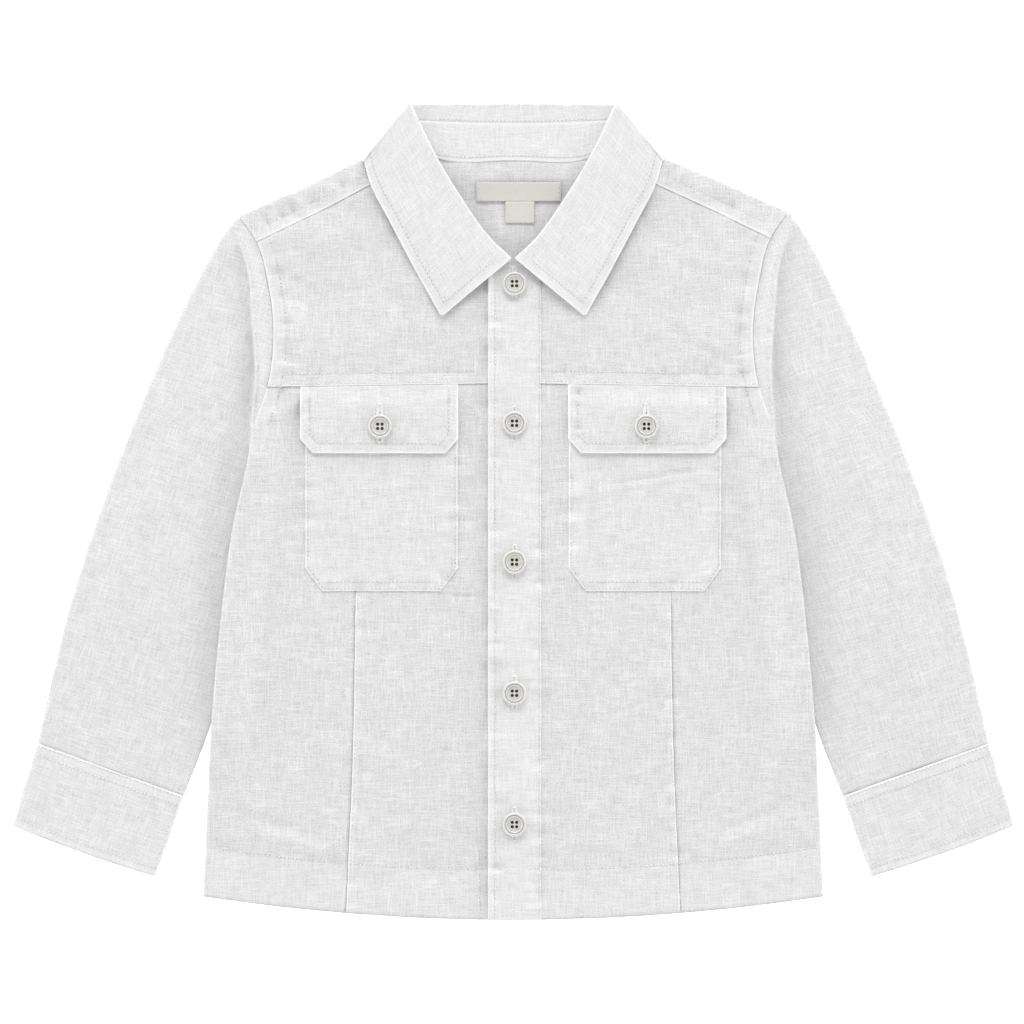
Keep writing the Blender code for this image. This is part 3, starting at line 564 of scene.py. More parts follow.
class Curve:
    """Smooth line through a few points, read by the share of its length."""

    STEPS = 24

    def __init__(self, *knots):
        knots = np.array(knots, dtype=float)
        spans = np.linalg.norm(np.diff(knots, axis=0), axis=1)
        place = np.concatenate(([0.0], np.cumsum(spans)))
        slopes = np.gradient(knots, place, axis=0)
        fine = np.linspace(0.0, place[-1], self.STEPS * len(spans) + 1)
        index = np.clip(np.searchsorted(place, fine, side="right") - 1, 0, len(spans) - 1)
        span = spans[index][:, None]
        t = ((fine - place[index]) / spans[index])[:, None]
        start = (1 + 2 * t) * (1 - t) ** 2 * knots[index]
        end = t * t * (3 - 2 * t) * knots[index + 1]
        leave = t * (1 - t) ** 2 * span * slopes[index]
        arrive = t * t * (t - 1) * span * slopes[index + 1]
        self.points = start + end + leave + arrive
        run = run_along(self.points)
        self.shares = run / run[-1]

    def at(self, shares):
        """Points at the given shares of the length."""
        columns = [np.interp(shares, self.shares, column) for column in self.points.T]
        return np.stack(columns, axis=-1)

    def share_at_height(self, height):
        """Share at which a line that rises or falls all the way has this height."""
        heights = self.points[:, 1]
        if heights[0] > heights[-1]:
            return float(np.interp(-height, -heights, self.shares))
        return float(np.interp(height, heights, self.shares))


def smooth(value):
    """S-shaped ramp from 0 to 1."""
    value = np.clip(value, 0.0, 1.0)
    return value * value * (3 - 2 * value)


def unit(vectors):
    """Vectors scaled to length 1."""
    return vectors / np.maximum(np.linalg.norm(vectors, axis=-1, keepdims=True), 1e-9)


def mirrored(points, side):
    """Plan or space points on the given side: +1 is the wearer's left."""
    return points * np.array([side] + [1.0] * (points.shape[-1] - 1))


def counted(length, spacing=GRID):
    """Number of points along a length at about the given spacing."""
    return max(3, int(round(length / spacing)) + 1)


def line_length(line):
    """Length of a line of points."""
    return float(np.linalg.norm(np.diff(line, axis=0), axis=1).sum())


def run_along(line):
    """Length along a line at each of its points, from its start."""
    return np.concatenate(([0.0], np.cumsum(np.linalg.norm(np.diff(line, axis=0), axis=1))))


def shares_along(line):
    """Share of a line's length at each of its points."""
    steps = np.linalg.norm(np.diff(line, axis=0), axis=1)
    return np.concatenate(([0.0], np.cumsum(steps) / steps.sum()))


def even_points(line, count):
    """Points at even steps along a line of points."""
    run = run_along(line)
    place = np.linspace(0.0, run[-1], count)
    return np.stack([np.interp(place, run, column) for column in line.T], axis=-1)


def noise(x, y, seed):
    """Smooth random field from -1 to 1: random values on a unit lattice, blended by S-curves."""
    table = np.random.default_rng(seed).uniform(-1.0, 1.0, (LATTICE, LATTICE))
    column = np.floor(x).astype(int)
    row = np.floor(y).astype(int)
    across = smooth(x - column)
    up = smooth(y - row)
    first, second = column % LATTICE, (column + 1) % LATTICE
    low, high = (
        table[line % LATTICE, first] * (1 - across) + table[line % LATTICE, second] * across
        for line in (row, row + 1))
    return low * (1 - up) + high * up


def swell(x, y, seed):
    """Random swell of the cloth: noise fields of a few wavelengths added up."""
    return sum(
        height * noise(x / wave, y / wave, seed + index)
        for index, (wave, height) in enumerate(SWELL))


def ridges(x, y, table):
    """Sum of ridges and troughs: each a Gaussian across its line that fades along it."""
    total = np.zeros_like(x)
    for ridge_x, ridge_y, direction, half_length, half_width, height in table:
        angle = math.radians(direction)
        along = (x - ridge_x) * math.cos(angle) + (y - ridge_y) * math.sin(angle)
        across = (y - ridge_y) * math.cos(angle) - (x - ridge_x) * math.sin(angle)
        total += height * np.exp(-(along / half_length) ** 2 - (across / half_width) ** 2)
    return total


SHOULDER_OUT = unit(np.array([SHOULDER_NECK[1] - SHOULDER_TIP[1], SHOULDER_TIP[0] - SHOULDER_NECK[0]]))
SHOULDER_FOLD = LAYER_STEP / 2
SHOULDER_INSET = (SHOULDER_FOLD + CLOTH / 2) * SHOULDER_OUT
TIP = np.array(SHOULDER_TIP) - SHOULDER_INSET
NECK_SIDE = np.array(SHOULDER_NECK) - SHOULDER_INSET
UNDERARM = np.array(SIDE_POINTS[0]) - (CLOTH / 2 + UNDERARM_BEND, 0.0)
ARMHOLE = Curve(TIP, *ARMHOLE_POINTS, UNDERARM)
SIDE = Curve(*SIDE_POINTS)
FRONT_SEAM = Curve(*FRONT_SEAM_POINTS)
FRONT_NECK = Curve(*FRONT_NECK_POINTS)
CREASE = Curve(*CREASE_POINTS)
SEAM_SHARE = ARMHOLE.share_at_height(SEAM_SLEEVE_END[1])
YOKE_SHARE = ARMHOLE.share_at_height(YOKE_SEAM_ARMHOLE)
SHOULDER_SEAM = np.array([SEAM_NECK_END, ARMHOLE.at(SEAM_SHARE)])
FLAP_BOTTOM = YOKE_SEAM_CENTRE + (YOKE_SEAM_ARMHOLE - YOKE_SEAM_CENTRE) * (
    FLAP_X / ARMHOLE_POINTS[-1][0]) - FLAP_DEPTH


def body_half(y):
    """Half width of the body at a height, along the armhole and then the side."""
    line = np.concatenate([ARMHOLE.points[:-1], SIDE.points])[::-1]
    return np.interp(y, line[:, 1], line[:, 0])


def hem_height(x):
    """Height of the hem line: lowest at the centre, rising to the sides."""
    return -BODY_LENGTH_BELOW + HEM_RISE * (x / HEM_HALF) ** 2


def yoke_height(x):
    """Height of the chest seam, dropping a little from the centre to the armhole."""
    share = np.abs(x) / ARMHOLE_POINTS[-1][0]
    return YOKE_SEAM_CENTRE + (YOKE_SEAM_ARMHOLE - YOKE_SEAM_CENTRE) * share


def edge_rise(x, y, column):
    """Rise near the body's edge, full within RISE_NEAR and none past RISE_FAR."""
    table = np.array(EDGE_RISE)
    inside = body_half(y) - np.abs(x)
    near = smooth((RISE_FAR - inside) / (RISE_FAR - RISE_NEAR))
    return np.interp(y, table[:, 0], table[:, column]) * near


def neck_rise(x, y):
    """Rise of the back and the fronts where the collar lies under the neck."""
    along = smooth((y - FALL_BACK_EDGE + NECK_RISE_RUN) / NECK_RISE_RUN)
    across = smooth((NECK_RISE_HALF + NECK_RISE_SIDE - np.abs(x)) / NECK_RISE_SIDE)
    return NECK_RISE * along * across


def back_level(x, y):
    """Height of the middle of the back's wall."""
    return BACK_LEVEL + edge_rise(x, y, 2) + neck_rise(x, y)


def measured(line, x, y):
    """Length along a line to the place nearest each point, and the distance from it."""
    step = np.diff(line, axis=0)
    length = np.linalg.norm(step, axis=1)
    before = np.concatenate(([0.0], np.cumsum(length)[:-1]))
    from_x = x[..., None] - line[:-1, 0]
    from_y = y[..., None] - line[:-1, 1]
    share = np.clip((from_x * step[:, 0] + from_y * step[:, 1]) / length ** 2, 0.0, 1.0)
    gap = np.hypot(from_x - share * step[:, 0], from_y - share * step[:, 1])
    nearest = gap.argmin(axis=-1)[..., None]
    along = np.take_along_axis(before + share * length, nearest, axis=-1)[..., 0]
    return along, np.take_along_axis(gap, nearest, axis=-1)[..., 0]


def inset_corners(centre, width, top, bottom, corner, inset):
    """Line down, across and up a patch with two cut lower corners, inset from its edge."""
    half = width / 2 - inset
    cut = corner[0] - inset * 0.5
    rise = corner[1] - inset * 0.5
    low = bottom + inset
    return np.array([
        (centre - half, top),
        (centre - half, low + rise),
        (centre - half + cut, low),
        (centre + half - cut, low),
        (centre + half, low + rise),
        (centre + half, top),
    ])


def offset_line(line, distance):
    """Line moved to its right by a distance, seen along its direction."""
    way = unit(np.gradient(line, axis=0))
    return line + distance * np.stack([way[:, 1], -way[:, 0]], axis=-1)


def front_rows():
    """Lines of topstitching on the front: where they lie, their plan and the pucker they draw up.

    A pucker has a wavelength along the row, a reach to either side and a height.
    """
    rows = []
    armhole = offset_line(ARMHOLE.at(np.linspace(SEAM_SHARE, ARMHOLE_ROW_END, 40)), ARMHOLE_ROW)
    shoulder = SHOULDER_SEAM + SHOULDER_ROW * SHOULDER_OUT
    shoulder = even_points(shoulder, 60)[2:-5]
    yoke_x = np.linspace(YOKE_ROW_START, ARMHOLE_POINTS[-1][0] - ARMHOLE_ROW, 20)
    yoke = np.stack([yoke_x, yoke_height(yoke_x) + YOKE_ROW], axis=-1)
    yoke_edge_x = np.linspace(PLACKET_X + PLACKET_WIDTH / 2 + 0.5, ARMHOLE_POINTS[-1][0] - 1.0, 20)
    yoke_edge = np.stack([yoke_edge_x, yoke_height(yoke_edge_x) + EDGE_ROW], axis=-1)
    seam_start = FRONT_SEAM.share_at_height(POCKET_BOTTOM - 0.5)
    seam = FRONT_SEAM.at(np.linspace(seam_start, SEAM_ROW_END, 24)) - (EDGE_ROW, 0.0)
    hem_x = np.linspace(PLACKET_X + PLACKET_WIDTH / 2 + 0.8, HEM_HALF - 2.4, 40)
    hem = np.stack([hem_x, hem_height(hem_x) + HEM_ROW], axis=-1)
    flap_top = YOKE_SEAM_CENTRE - 2.0
    flap = inset_corners(FLAP_X, FLAP_WIDTH, flap_top, FLAP_BOTTOM, FLAP_CORNER, FLAP_ROW)
    pocket_top = FLAP_BOTTOM - 0.5
    pocket = inset_corners(POCKET_X, POCKET_WIDTH, pocket_top, POCKET_BOTTOM, POCKET_CORNER, EDGE_ROW)
    pocket_half = POCKET_WIDTH / 2 - POCKET_CORNER[0] - 1.5
    pocket_low = np.array([
        (POCKET_X - pocket_half, POCKET_BOTTOM + POCKET_ROW),
        (POCKET_X + pocket_half, POCKET_BOTTOM + POCKET_ROW),
    ])
    for side, word in ((1, "left"), (-1, "right")):
        for place, line, wave, reach, height in (
            (f"front_yoke_{word}", armhole, 3.6, 4.6, 0.17),
            (f"front_yoke_{word}", yoke, 3.2, 3.2, 0.12),
            (f"front_yoke_{word}", yoke_edge, 3.2, 3.0, 0.08),
            ("back", shoulder, 3.4, 4.6, 0.20),
            (f"front_centre_{word}", seam, 4.6, 5.5, 0.13),
            (f"front_centre_{word}", hem, 5.5, 6.5, 0.17),
            (f"pocket_flap_{word}", flap, 3.8, 3.6, 0.12),
            (f"pocket_{word}", pocket, 4.6, 7.0, 0.16),
            (f"pocket_{word}", pocket_low, 4.0, 4.0, 0.10),
        ):
            rows.append((place, mirrored(line, side), wave, reach, height))
    top = float(np.interp(PLACKET_WIDTH / 2, FRONT_NECK.points[:, 0], FRONT_NECK.points[:, 1]))
    low = -BODY_LENGTH_BELOW + 1.0
    left = PLACKET_X - PLACKET_WIDTH / 2
    right = PLACKET_X + PLACKET_WIDTH / 2
    hem_run = hem_height(0.0) + HEM_ROW + 0.6
    rows += [
        ("placket", np.array([(left + PLACKET_ROW, low), (left + PLACKET_ROW, top - 2)]), 5.0, 6.0, 0.13),
        ("placket", np.array([(right - 0.7, low), (right - 0.7, top - 1)]), 5.0, 7.0, 0.16),
        ("placket", np.array([(left + 0.8, hem_run), (left + 7.4, hem_run)]), 3.0, 2.5, 0.08),
        ("placket", np.array([(right - 6.6, hem_run), (right - 0.8, hem_run)]), 3.0, 2.5, 0.08),
        ("front_centre_right", np.array([(left - 3.6, low), (left - 4.4, hem_run + 12)]), 4.0, 3.0, 0.10),
    ]
    return rows


FRONT_ROWS = front_rows()


def front_relief(x, y):
    """Creases, swell and puckers of the front, the same for all that lies on it.

    Beside a row of stitches two noise fields run along it and fade with a Gaussian of
    the distance, and a narrow Gaussian groove follows the row itself.
    """
    rougher = 1 + YOKE_SWELL * smooth((y - YOKE_SEAM_CENTRE) / YOKE_SWELL_RUN)
    total = rougher * swell(x, y, FRONT_SEED) + CREASE_DEPTH * ridges(x, y, CREASES)
    for index, (_, line, wave, reach, height) in enumerate(FRONT_ROWS):
        low = line.min(axis=0) - 3 * reach
        high = line.max(axis=0) + 3 * reach
        near = (x > low[0]) & (x < high[0]) & (y > low[1]) & (y < high[1])
        if not near.any():
            continue
        along, away = measured(even_points(line, 40), x[near], y[near])
        run = along / wave
        wander = away / (2.2 * reach)
        wave_height = noise(run, wander, PUCKER_SEED + index)
        wave_height = wave_height + 0.5 * noise(2.1 * run, wander, FINE_PUCKER_SEED + index)
        pucker = PUCKER_DEPTH * wave_height * np.exp(-(away / reach) ** 2)
        total[near] += height * (pucker - np.exp(-(away / ROW_GROOVE) ** 2))
    return total


def front_form(x, y):
    """Height of the middle of the front's cloth: the solid's level with its relief."""
    level = FRONT_LEVEL + edge_rise(x, y, 1) + neck_rise(x, y) + ridges(x, y, FOLDS)
    inside = smooth((body_half(y) - np.abs(x)) / EDGE_RELIEF_RUN)
    return level + front_relief(x, y) * (EDGE_RELIEF + (1 - EDGE_RELIEF) * inside)


def yoke_form(x, y):
    """Height of the middle of the upper front, raised by the turned cloth along the chest seam."""
    return front_form(x, y) + SEAM_RIDGE * np.exp(-((y - yoke_height(x)) / SEAM_RIDGE_RUN) ** 2)


def flap_top(x, y):
    """Height of the flap's upper face: it comes out of the chest seam and climbs onto the pocket."""
    down = yoke_height(x) - SEAM_GAP - y
    out = FLAP_START + (1 - FLAP_START) * smooth(down / FLAP_RAMP)
    climb = smooth(down / FLAP_RAMP) * (POCKET_CLOTH + LAYER_GAP)
    climb = climb + FLAP_LIFT * smooth(down / FLAP_LIFT_RUN)
    return front_form(x, y) + FLAP_CLOTH / 2 + out * (ON_FRONT + FLAP_CLOTH / 2) + climb


def placket_wall(x):
    """Wall of the placket and its rise over the front: thin where it is sewn, lifted at its free edge."""
    sewn = smooth((x - PLACKET_X - PLACKET_WIDTH / 2 + PLACKET_FLUSH) / PLACKET_FLUSH)
    lift = PLACKET_LIFT * smooth(1 - (x - PLACKET_X + PLACKET_WIDTH / 2) / PLACKET_LIFT_RUN)
    return BAND_CLOTH - PLACKET_THINNER * sewn, CLOTH / 2 + LAYER_GAP * (1 - sewn) + lift


def placket_top(x, y):
    """Height of the placket's upper face."""
    wall, below = placket_wall(x)
    return front_form(x, y) + below + wall


def band(distance, width):
    """1 within a width of an edge or seam, where the cloth is double, and 0 beyond it."""
    return smooth((width - distance) / BAND_FADE + 0.5) * (distance > -BAND_PAST)


def pressed(distance):
    """Whiteness at an edge: seam cloth pressed into it and a painted highlight along it, most at the
    edge, falling off with an exponential.
    """
    return EDGE_LAYERS_AND_HIGHLIGHT * np.exp(-np.abs(distance) / EDGE_FADE)


def panel_tone(plan):
    """Doubled cloth of the fronts: along the armhole, the chest seam, the hem and the front seam.

    It is whitest at edges with seam cloth pressed into them and a painted highlight along
    them. Below zero it is painted shade along the edges with none: a painted shadow line
    under the chest seam and beside the front seam, and painted shade along the hem.
    """
    x = np.abs(plan[..., 0])
    y = plan[..., 1]
    inside = body_half(y) - x
    beside_armhole = smooth((y - UNDERARM[1]) / ARMHOLE_FADE)
    armhole = np.maximum(ARMHOLE_DOUBLE * band(inside, ARMHOLE_ROW), pressed(inside)) * beside_armhole
    above = y - yoke_height(x)
    yoke = np.maximum(YOKE_DOUBLE * band(above, YOKE_ROW), pressed(above)) * (above > -SEAM_GAP / 2)
    hem = HEM_DOUBLE * band(y - hem_height(x), HEM_ROW)
    seam_x = np.interp(-y, -FRONT_SEAM.points[:, 1], FRONT_SEAM.points[:, 0])
    past = x - seam_x
    seam = np.maximum(
        SEAM_DOUBLE * band(np.abs(past + EDGE_ROW), EDGE_ROW),
        SOFTER_EDGE * pressed(past) * (past < 0))
    seam = seam * (y < POCKET_BOTTOM)
    # painted shadow lines beside the front seam and under the chest seam, and painted shade along the
    # hem's edge
    beside = np.where(past > 0, np.exp(-np.abs(past) / EDGE_FADE), 0.0) * (y < POCKET_BOTTOM)
    under = np.where(above < -SEAM_GAP / 2, np.exp(-np.abs(above) / EDGE_FADE), 0.0)
    edge = np.exp(-np.maximum(y - hem_height(x), 0.0) / EDGE_FADE)
    bare = np.maximum.reduce([beside, under, edge])
    return np.maximum.reduce([armhole, yoke, hem, seam]) * (1 - bare) - PAINTED_EDGE_SHADE * bare


def patch(bottom, top, left, right):
    """Coons patch: a grid of plan points between four edges, rows from bottom to top."""
    def shares(first, second):
        steps = sum(np.linalg.norm(np.diff(edge, axis=0), axis=1) for edge in (first, second))
        return np.concatenate(([0.0], np.cumsum(steps) / steps.sum()))

    u = shares(bottom, top)[None, :, None]
    v = shares(left, right)[:, None, None]
    ruled_up = (1 - v) * bottom[None] + v * top[None]
    ruled_across = (1 - u) * left[:, None] + u * right[:, None]
    corners_low = (1 - u) * bottom[0] + u * bottom[-1]
    corners_high = (1 - u) * top[0] + u * top[-1]
    return ruled_up + ruled_across - (1 - v) * corners_low - v * corners_high


def on_side(grid, side):
    """Grid on the given side, with its columns turned round so that its face stays up."""
    grid = mirrored(grid, side)
    return grid if side > 0 else grid[:, ::-1]


def upward(count):
    """Normals that all point straight up."""
    return np.tile((0.0, 0.0, 1.0), (count, 1))


def lifted(plan, height):
    """Space points of a plan and its heights."""
    return np.concatenate([plan, height[..., None]], axis=-1)


def linear(colour):
    """Linear colour of an sRGB hex value."""
    values = np.array([int(colour[index:index + 2], 16) for index in (1, 3, 5)]) / 255
    values = np.where(values <= 0.04045, values / 12.92, ((values + 0.055) / 1.055) ** 2.4)
    return (*values.tolist(), 1.0)


def add_node(tree, kind, inputs=None, **settings):
    """Adds a shader node, sets its fields, and sets or links its inputs by name."""
    made = tree.nodes.new(kind)
    for key, value in settings.items():
        setattr(made, key, value)
    for key, value in (inputs or {}).items():
        if isinstance(value, bpy.types.NodeSocket):
            tree.links.new(value, made.inputs[key])
        else:
            made.inputs[key].default_value = value
    return made


def new_material(name):
    """Empty node material: its tree and its Principled shader."""
    material = bpy.data.materials.new(name)
    material.use_nodes = True
    return material, material.node_tree, material.node_tree.nodes["Principled BSDF"]


# Linen, plain weave of slubby flax yarn, bleached and washed. Single yarns of about
# 0.4 mm are finer than a pixel of the render, so the streaks are drawn 0.6 mm wide.
YARN = 0.6
STREAK = 9.0
SLUB_WIDTH = 0.8
SLUB_LENGTH = 16.0
MOTTLE = 5.0
LINEN_FIELDS = (
    # across, along, detail, offset, least and most of the noise, tone at each
    (YARN, STREAK, 2.0, 0.0, 0.0, 1.0, -0.23, 0.23),
    (STREAK, YARN, 2.0, 17.0, 0.0, 1.0, -0.26, 0.26),
    (SLUB_WIDTH, SLUB_LENGTH, 0.0, 5.0, 0.64, 0.78, 0.0, 0.13),
    (SLUB_LENGTH, SLUB_WIDTH, 0.0, 31.0, 0.64, 0.78, 0.0, 0.13),
    (MOTTLE, MOTTLE, 2.0, 43.0, 0.0, 1.0, -0.12, 0.12),
    (YARN, YARN, 1.0, 71.0, 0.0, 1.0, -0.39, 0.39),
)
# Crinkles: fine crease lines that are bumped and also painted lighter, a painted highlight along them
CRINKLES = (
    # across, along, offset, width of the line as a share of the noise
    (15.0, 10.0, 113.0, 0.010),
    (10.0, 16.0, 151.0, 0.010),
)
CRINKLE_PATCH = 13.0
CRINKLE_HIGHLIGHT = 0.16


def linen_material():
    """Linen: streaks of thick and thin yarn both ways, rare slubs, a soft mottle, and crinkles that are
    bumped and also painted lighter as a highlight.

    The grain map gives millimetres along the weft and the warp. Doubled cloth lets
    less light through and looks whiter; the attribute of doubling and painted light says where
    it lies, and adds a painted highlight along edges. Below zero it is painted shade at folds
    and bare edges.
    """
    material, tree, shader = new_material("washed_linen")
    grain = add_node(tree, "ShaderNodeUVMap", uv_map="grain").outputs["UV"]
    tone = 0.5
    for across, along, detail, offset, least, most, low, high in LINEN_FIELDS:
        place = add_node(tree, "ShaderNodeMapping", {
            "Vector": grain,
            "Location": (offset, 2 * offset, 0.0),
            "Scale": (1 / across, 1 / along, 1.0),
        })
        field = add_node(tree, "ShaderNodeTexNoise", {
            "Vector": place.outputs["Vector"], "Scale": 1.0, "Detail": detail, "Roughness": 0.6,
        }, noise_dimensions="2D")
        share = add_node(tree, "ShaderNodeMapRange", {
            "Value": field.outputs["Fac"],
            "From Min": least,
            "From Max": most,
            "To Min": low,
            "To Max": high,
        })
        tone = add_node(tree, "ShaderNodeMath", {
            0: tone, 1: share.outputs["Result"]}, operation="ADD").outputs["Value"]
    for across, along, offset, width in CRINKLES:
        place = add_node(tree, "ShaderNodeMapping", {
            "Vector": grain,
            "Location": (offset, 2 * offset, 0.0),
            "Scale": (1 / across, 1 / along, 1.0),
        })
        field = add_node(tree, "ShaderNodeTexNoise", {
            "Vector": place.outputs["Vector"], "Scale": 1.0, "Detail": 1.0, "Distortion": 0.4,
        }, noise_dimensions="2D")
        line = add_node(tree, "ShaderNodeMath", {
            0: field.outputs["Fac"], 1: 0.5, 2: width}, operation="COMPARE")
        patch_place = add_node(tree, "ShaderNodeMapping", {
            "Vector": grain, "Location": (2 * offset, offset, 0.0), "Scale": (1 / CRINKLE_PATCH,) * 3})
        patches = add_node(tree, "ShaderNodeTexNoise", {
            "Vector": patch_place.outputs["Vector"], "Scale": 1.0, "Detail": 1.0}, noise_dimensions="2D")
        strength = add_node(tree, "ShaderNodeMapRange", {
            "Value": patches.outputs["Fac"], "From Min": 0.52, "From Max": 0.72, "To Max": CRINKLE_HIGHLIGHT})
        tone = add_node(tree, "ShaderNodeMath", {
            0: line.outputs["Value"], 1: strength.outputs["Result"], 2: tone,
        }, operation="MULTIPLY_ADD").outputs["Value"]

    # positive values whiten the cloth, doubled cloth and painted highlights; negative ones are painted
    # shade at folds and bare edges
    layers = add_node(tree, "ShaderNodeAttribute", attribute_name="layers").outputs["Fac"]
    folded = add_node(tree, "ShaderNodeMath", {0: layers, 1: 0.0}, operation="MINIMUM").outputs["Value"]
    shaded = add_node(tree, "ShaderNodeMath", {0: tone, 1: folded}, operation="ADD").outputs["Value"]
    colour = add_node(tree, "ShaderNodeValToRGB", {"Fac": shaded})
    ramp = colour.color_ramp.elements
    ramp[0].position = 0.1
    ramp[0].color = linear(LINEN_DARK)
    ramp[1].position = 0.9
    ramp[1].color = linear(LINEN_LIGHT)
    middle = ramp.new(0.5)
    middle.color = linear(LINEN)
    double = add_node(tree, "ShaderNodeMath", {0: layers, 1: DOUBLE_CLOTH}, operation="MULTIPLY")
    whiter = add_node(tree, "ShaderNodeMix", {
        "Factor": double.outputs["Value"],
        "A": colour.outputs["Color"],
        "B": linear(LINEN_WHITE),
    }, data_type="RGBA")
    tree.links.new(whiter.outputs["Result"], shader.inputs["Base Color"])
    bump = add_node(tree, "ShaderNodeBump", {
        "Strength": 0.35, "Distance": 0.12 * MM, "Height": tone})
    tree.links.new(bump.outputs["Normal"], shader.inputs["Normal"])
    shader.inputs["Roughness"].default_value = 0.92
    shader.inputs["Specular IOR Level"].default_value = 0.25
    shader.inputs["Sheen Weight"].default_value = 0.08
    shader.inputs["Sheen Roughness"].default_value = 0.5
    return material


def thread_material():
    """Spun thread: white and matte, greyed a little by its fibres, with painted shade at each stitch's
    ends where it goes down into the cloth.
    """
    material, tree, shader = new_material("sewing_thread")
    tuck = add_node(tree, "ShaderNodeAttribute", attribute_name="tuck").outputs["Fac"]
    place = add_node(tree, "ShaderNodeTexCoord").outputs["Object"]
    fibre = add_node(tree, "ShaderNodeTexNoise", {
        "Vector": place, "Scale": 1 / (0.5 * MM), "Detail": 1.0}).outputs["Fac"]
    share = add_node(tree, "ShaderNodeMath", {
        0: fibre, 1: 0.16, 2: tuck}, operation="MULTIPLY_ADD", use_clamp=True).outputs["Value"]
    colour = add_node(tree, "ShaderNodeMix", {
        "Factor": share,
        "A": linear(THREAD_COLOUR),
        "B": linear(THREAD_GREY_AND_HOLE_SHADE),
    }, data_type="RGBA")
    tree.links.new(colour.outputs["Result"], shader.inputs["Base Color"])
    shader.inputs["Roughness"].default_value = 0.8
    return material


def label_material():
    """Woven label: close satin-weave tape with fine ribs across it, a little shiny."""
    material, tree, shader = new_material("woven_label_tape")
    grain = add_node(tree, "ShaderNodeUVMap", uv_map="grain").outputs["UV"]
    ribs = add_node(tree, "ShaderNodeMapping", {"Vector": grain, "Scale": (1 / 3.0, 1 / 0.5, 1.0)})
    rib = add_node(tree, "ShaderNodeTexNoise", {
        "Vector": ribs.outputs["Vector"], "Scale": 1.0, "Detail": 2.0}, noise_dimensions="2D")
    colour = add_node(tree, "ShaderNodeMix", {
        "Factor": rib.outputs["Fac"],
        "A": linear(LABEL_COLOUR),
        "B": linear(LABEL_LIGHT),
    }, data_type="RGBA")
    tree.links.new(colour.outputs["Result"], shader.inputs["Base Color"])
    bump = add_node(tree, "ShaderNodeBump", {
        "Strength": 0.3, "Distance": 0.08 * MM, "Height": rib.outputs["Fac"]})
    tree.links.new(bump.outputs["Normal"], shader.inputs["Normal"])
    shader.inputs["Roughness"].default_value = 0.62
    return material


def resin_material():
    """Cast polyester resin, turned and tumbled: cloudy off-white with a soft polish."""
    material, tree, shader = new_material("button_resin_polished")
    place = add_node(tree, "ShaderNodeTexCoord").outputs["Object"]
    cloud = add_node(tree, "ShaderNodeTexNoise", {
        "Vector": place, "Scale": 1 / (3.0 * MM), "Detail": 3.0}).outputs["Fac"]
    colour = add_node(tree, "ShaderNodeMix", {
        "Factor": cloud,
        "A": linear(RESIN_COLOUR),
        "B": linear(RESIN_LIGHT),
    }, data_type="RGBA")
    tree.links.new(colour.outputs["Result"], shader.inputs["Base Color"])
    shader.inputs["Roughness"].default_value = 0.38
    shader.inputs["IOR"].default_value = 1.54
    return material


def hole_shade_material():
    """Painted shade in dark brown: on the thread seen through the button's holes, and on the sheet in a
    buttonhole's slit.
    """
    material, tree, shader = new_material("thread_in_shade")
    place = add_node(tree, "ShaderNodeTexCoord").outputs["Object"]
    fibre = add_node(tree, "ShaderNodeTexNoise", {
        "Vector": place, "Scale": 1 / (0.4 * MM), "Detail": 1.0}).outputs["Fac"]
    colour = add_node(tree, "ShaderNodeMix", {
        "Factor": fibre,
        "A": linear(HOLE_SHADE_COLOUR),
        "B": linear(HOLE_SHADE_PALER),
    }, data_type="RGBA")
    tree.links.new(colour.outputs["Result"], shader.inputs["Base Color"])
    shader.inputs["Roughness"].default_value = 0.9
    return material


MATERIALS = {
    "linen": linen_material(),
    "thread": thread_material(),
    "label": label_material(),
    "resin": resin_material(),
    "hole": hole_shade_material(),
}


def laid(points):
    """Points as the jacket lies: the left shoulder further up than the right, by an S-curve outwards."""
    x, y = points[:, 0], points[:, 1]
    outwards = smooth((np.abs(x) - TILT_START[0]) / TILT_RUN[0])
    upwards = smooth((y - TILT_START[1]) / TILT_RUN[1])
    lift = SHOULDER_TILT * np.sign(x) * outwards * upwards
    return points + lift[:, None] * (0.0, 1.0, 0.0)


def add_piece(name, points, quads, material, attributes=None, uv=None):
    """Mesh piece of points and four-cornered faces, riding on the jacket's one body."""
    points = laid(points)
    mesh = bpy.data.meshes.new(name)
    mesh.vertices.add(len(points))
    mesh.vertices.foreach_set("co", (points * MM).astype(np.float32).ravel())
    mesh.loops.add(quads.size)
    mesh.loops.foreach_set("vertex_index", quads.astype(np.int32).ravel())
    mesh.polygons.add(len(quads))
    mesh.polygons.foreach_set("loop_start", np.arange(0, quads.size, 4, dtype=np.int32))
    mesh.polygons.foreach_set("loop_total", np.full(len(quads), 4, dtype=np.int32))
    mesh.update(calc_edges=True)
    if uv is not None:
        layer = mesh.uv_layers.new(name="grain")
        layer.data.foreach_set("uv", uv[quads.ravel()].astype(np.float32).ravel())
    for key, values in (attributes or {}).items():
        attribute = mesh.attributes.new(key, "FLOAT", "POINT")
        attribute.data.foreach_set("value", values.astype(np.float32).ravel())
    mesh.materials.append(MATERIALS[material])
    mesh.shade_smooth()
    item = bpy.data.objects.new(name, mesh)
    bpy.context.scene.collection.objects.link(item)
    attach(item, "root")
    return item


def surface_normals(grid, closed):
    """Normals of a grid: its change along the columns crossed with that along the rows."""
    if closed:
        along_columns = np.roll(grid, -1, axis=1) - np.roll(grid, 1, axis=1)
    else:
        along_columns = np.gradient(grid, axis=1)
    return unit(np.cross(along_columns, np.gradient(grid, axis=0)))


RIM_TURN = np.radians([45.0, 90.0, 135.0])
RIM_BULGE = 0.4
RIM_ROOM = 0.6
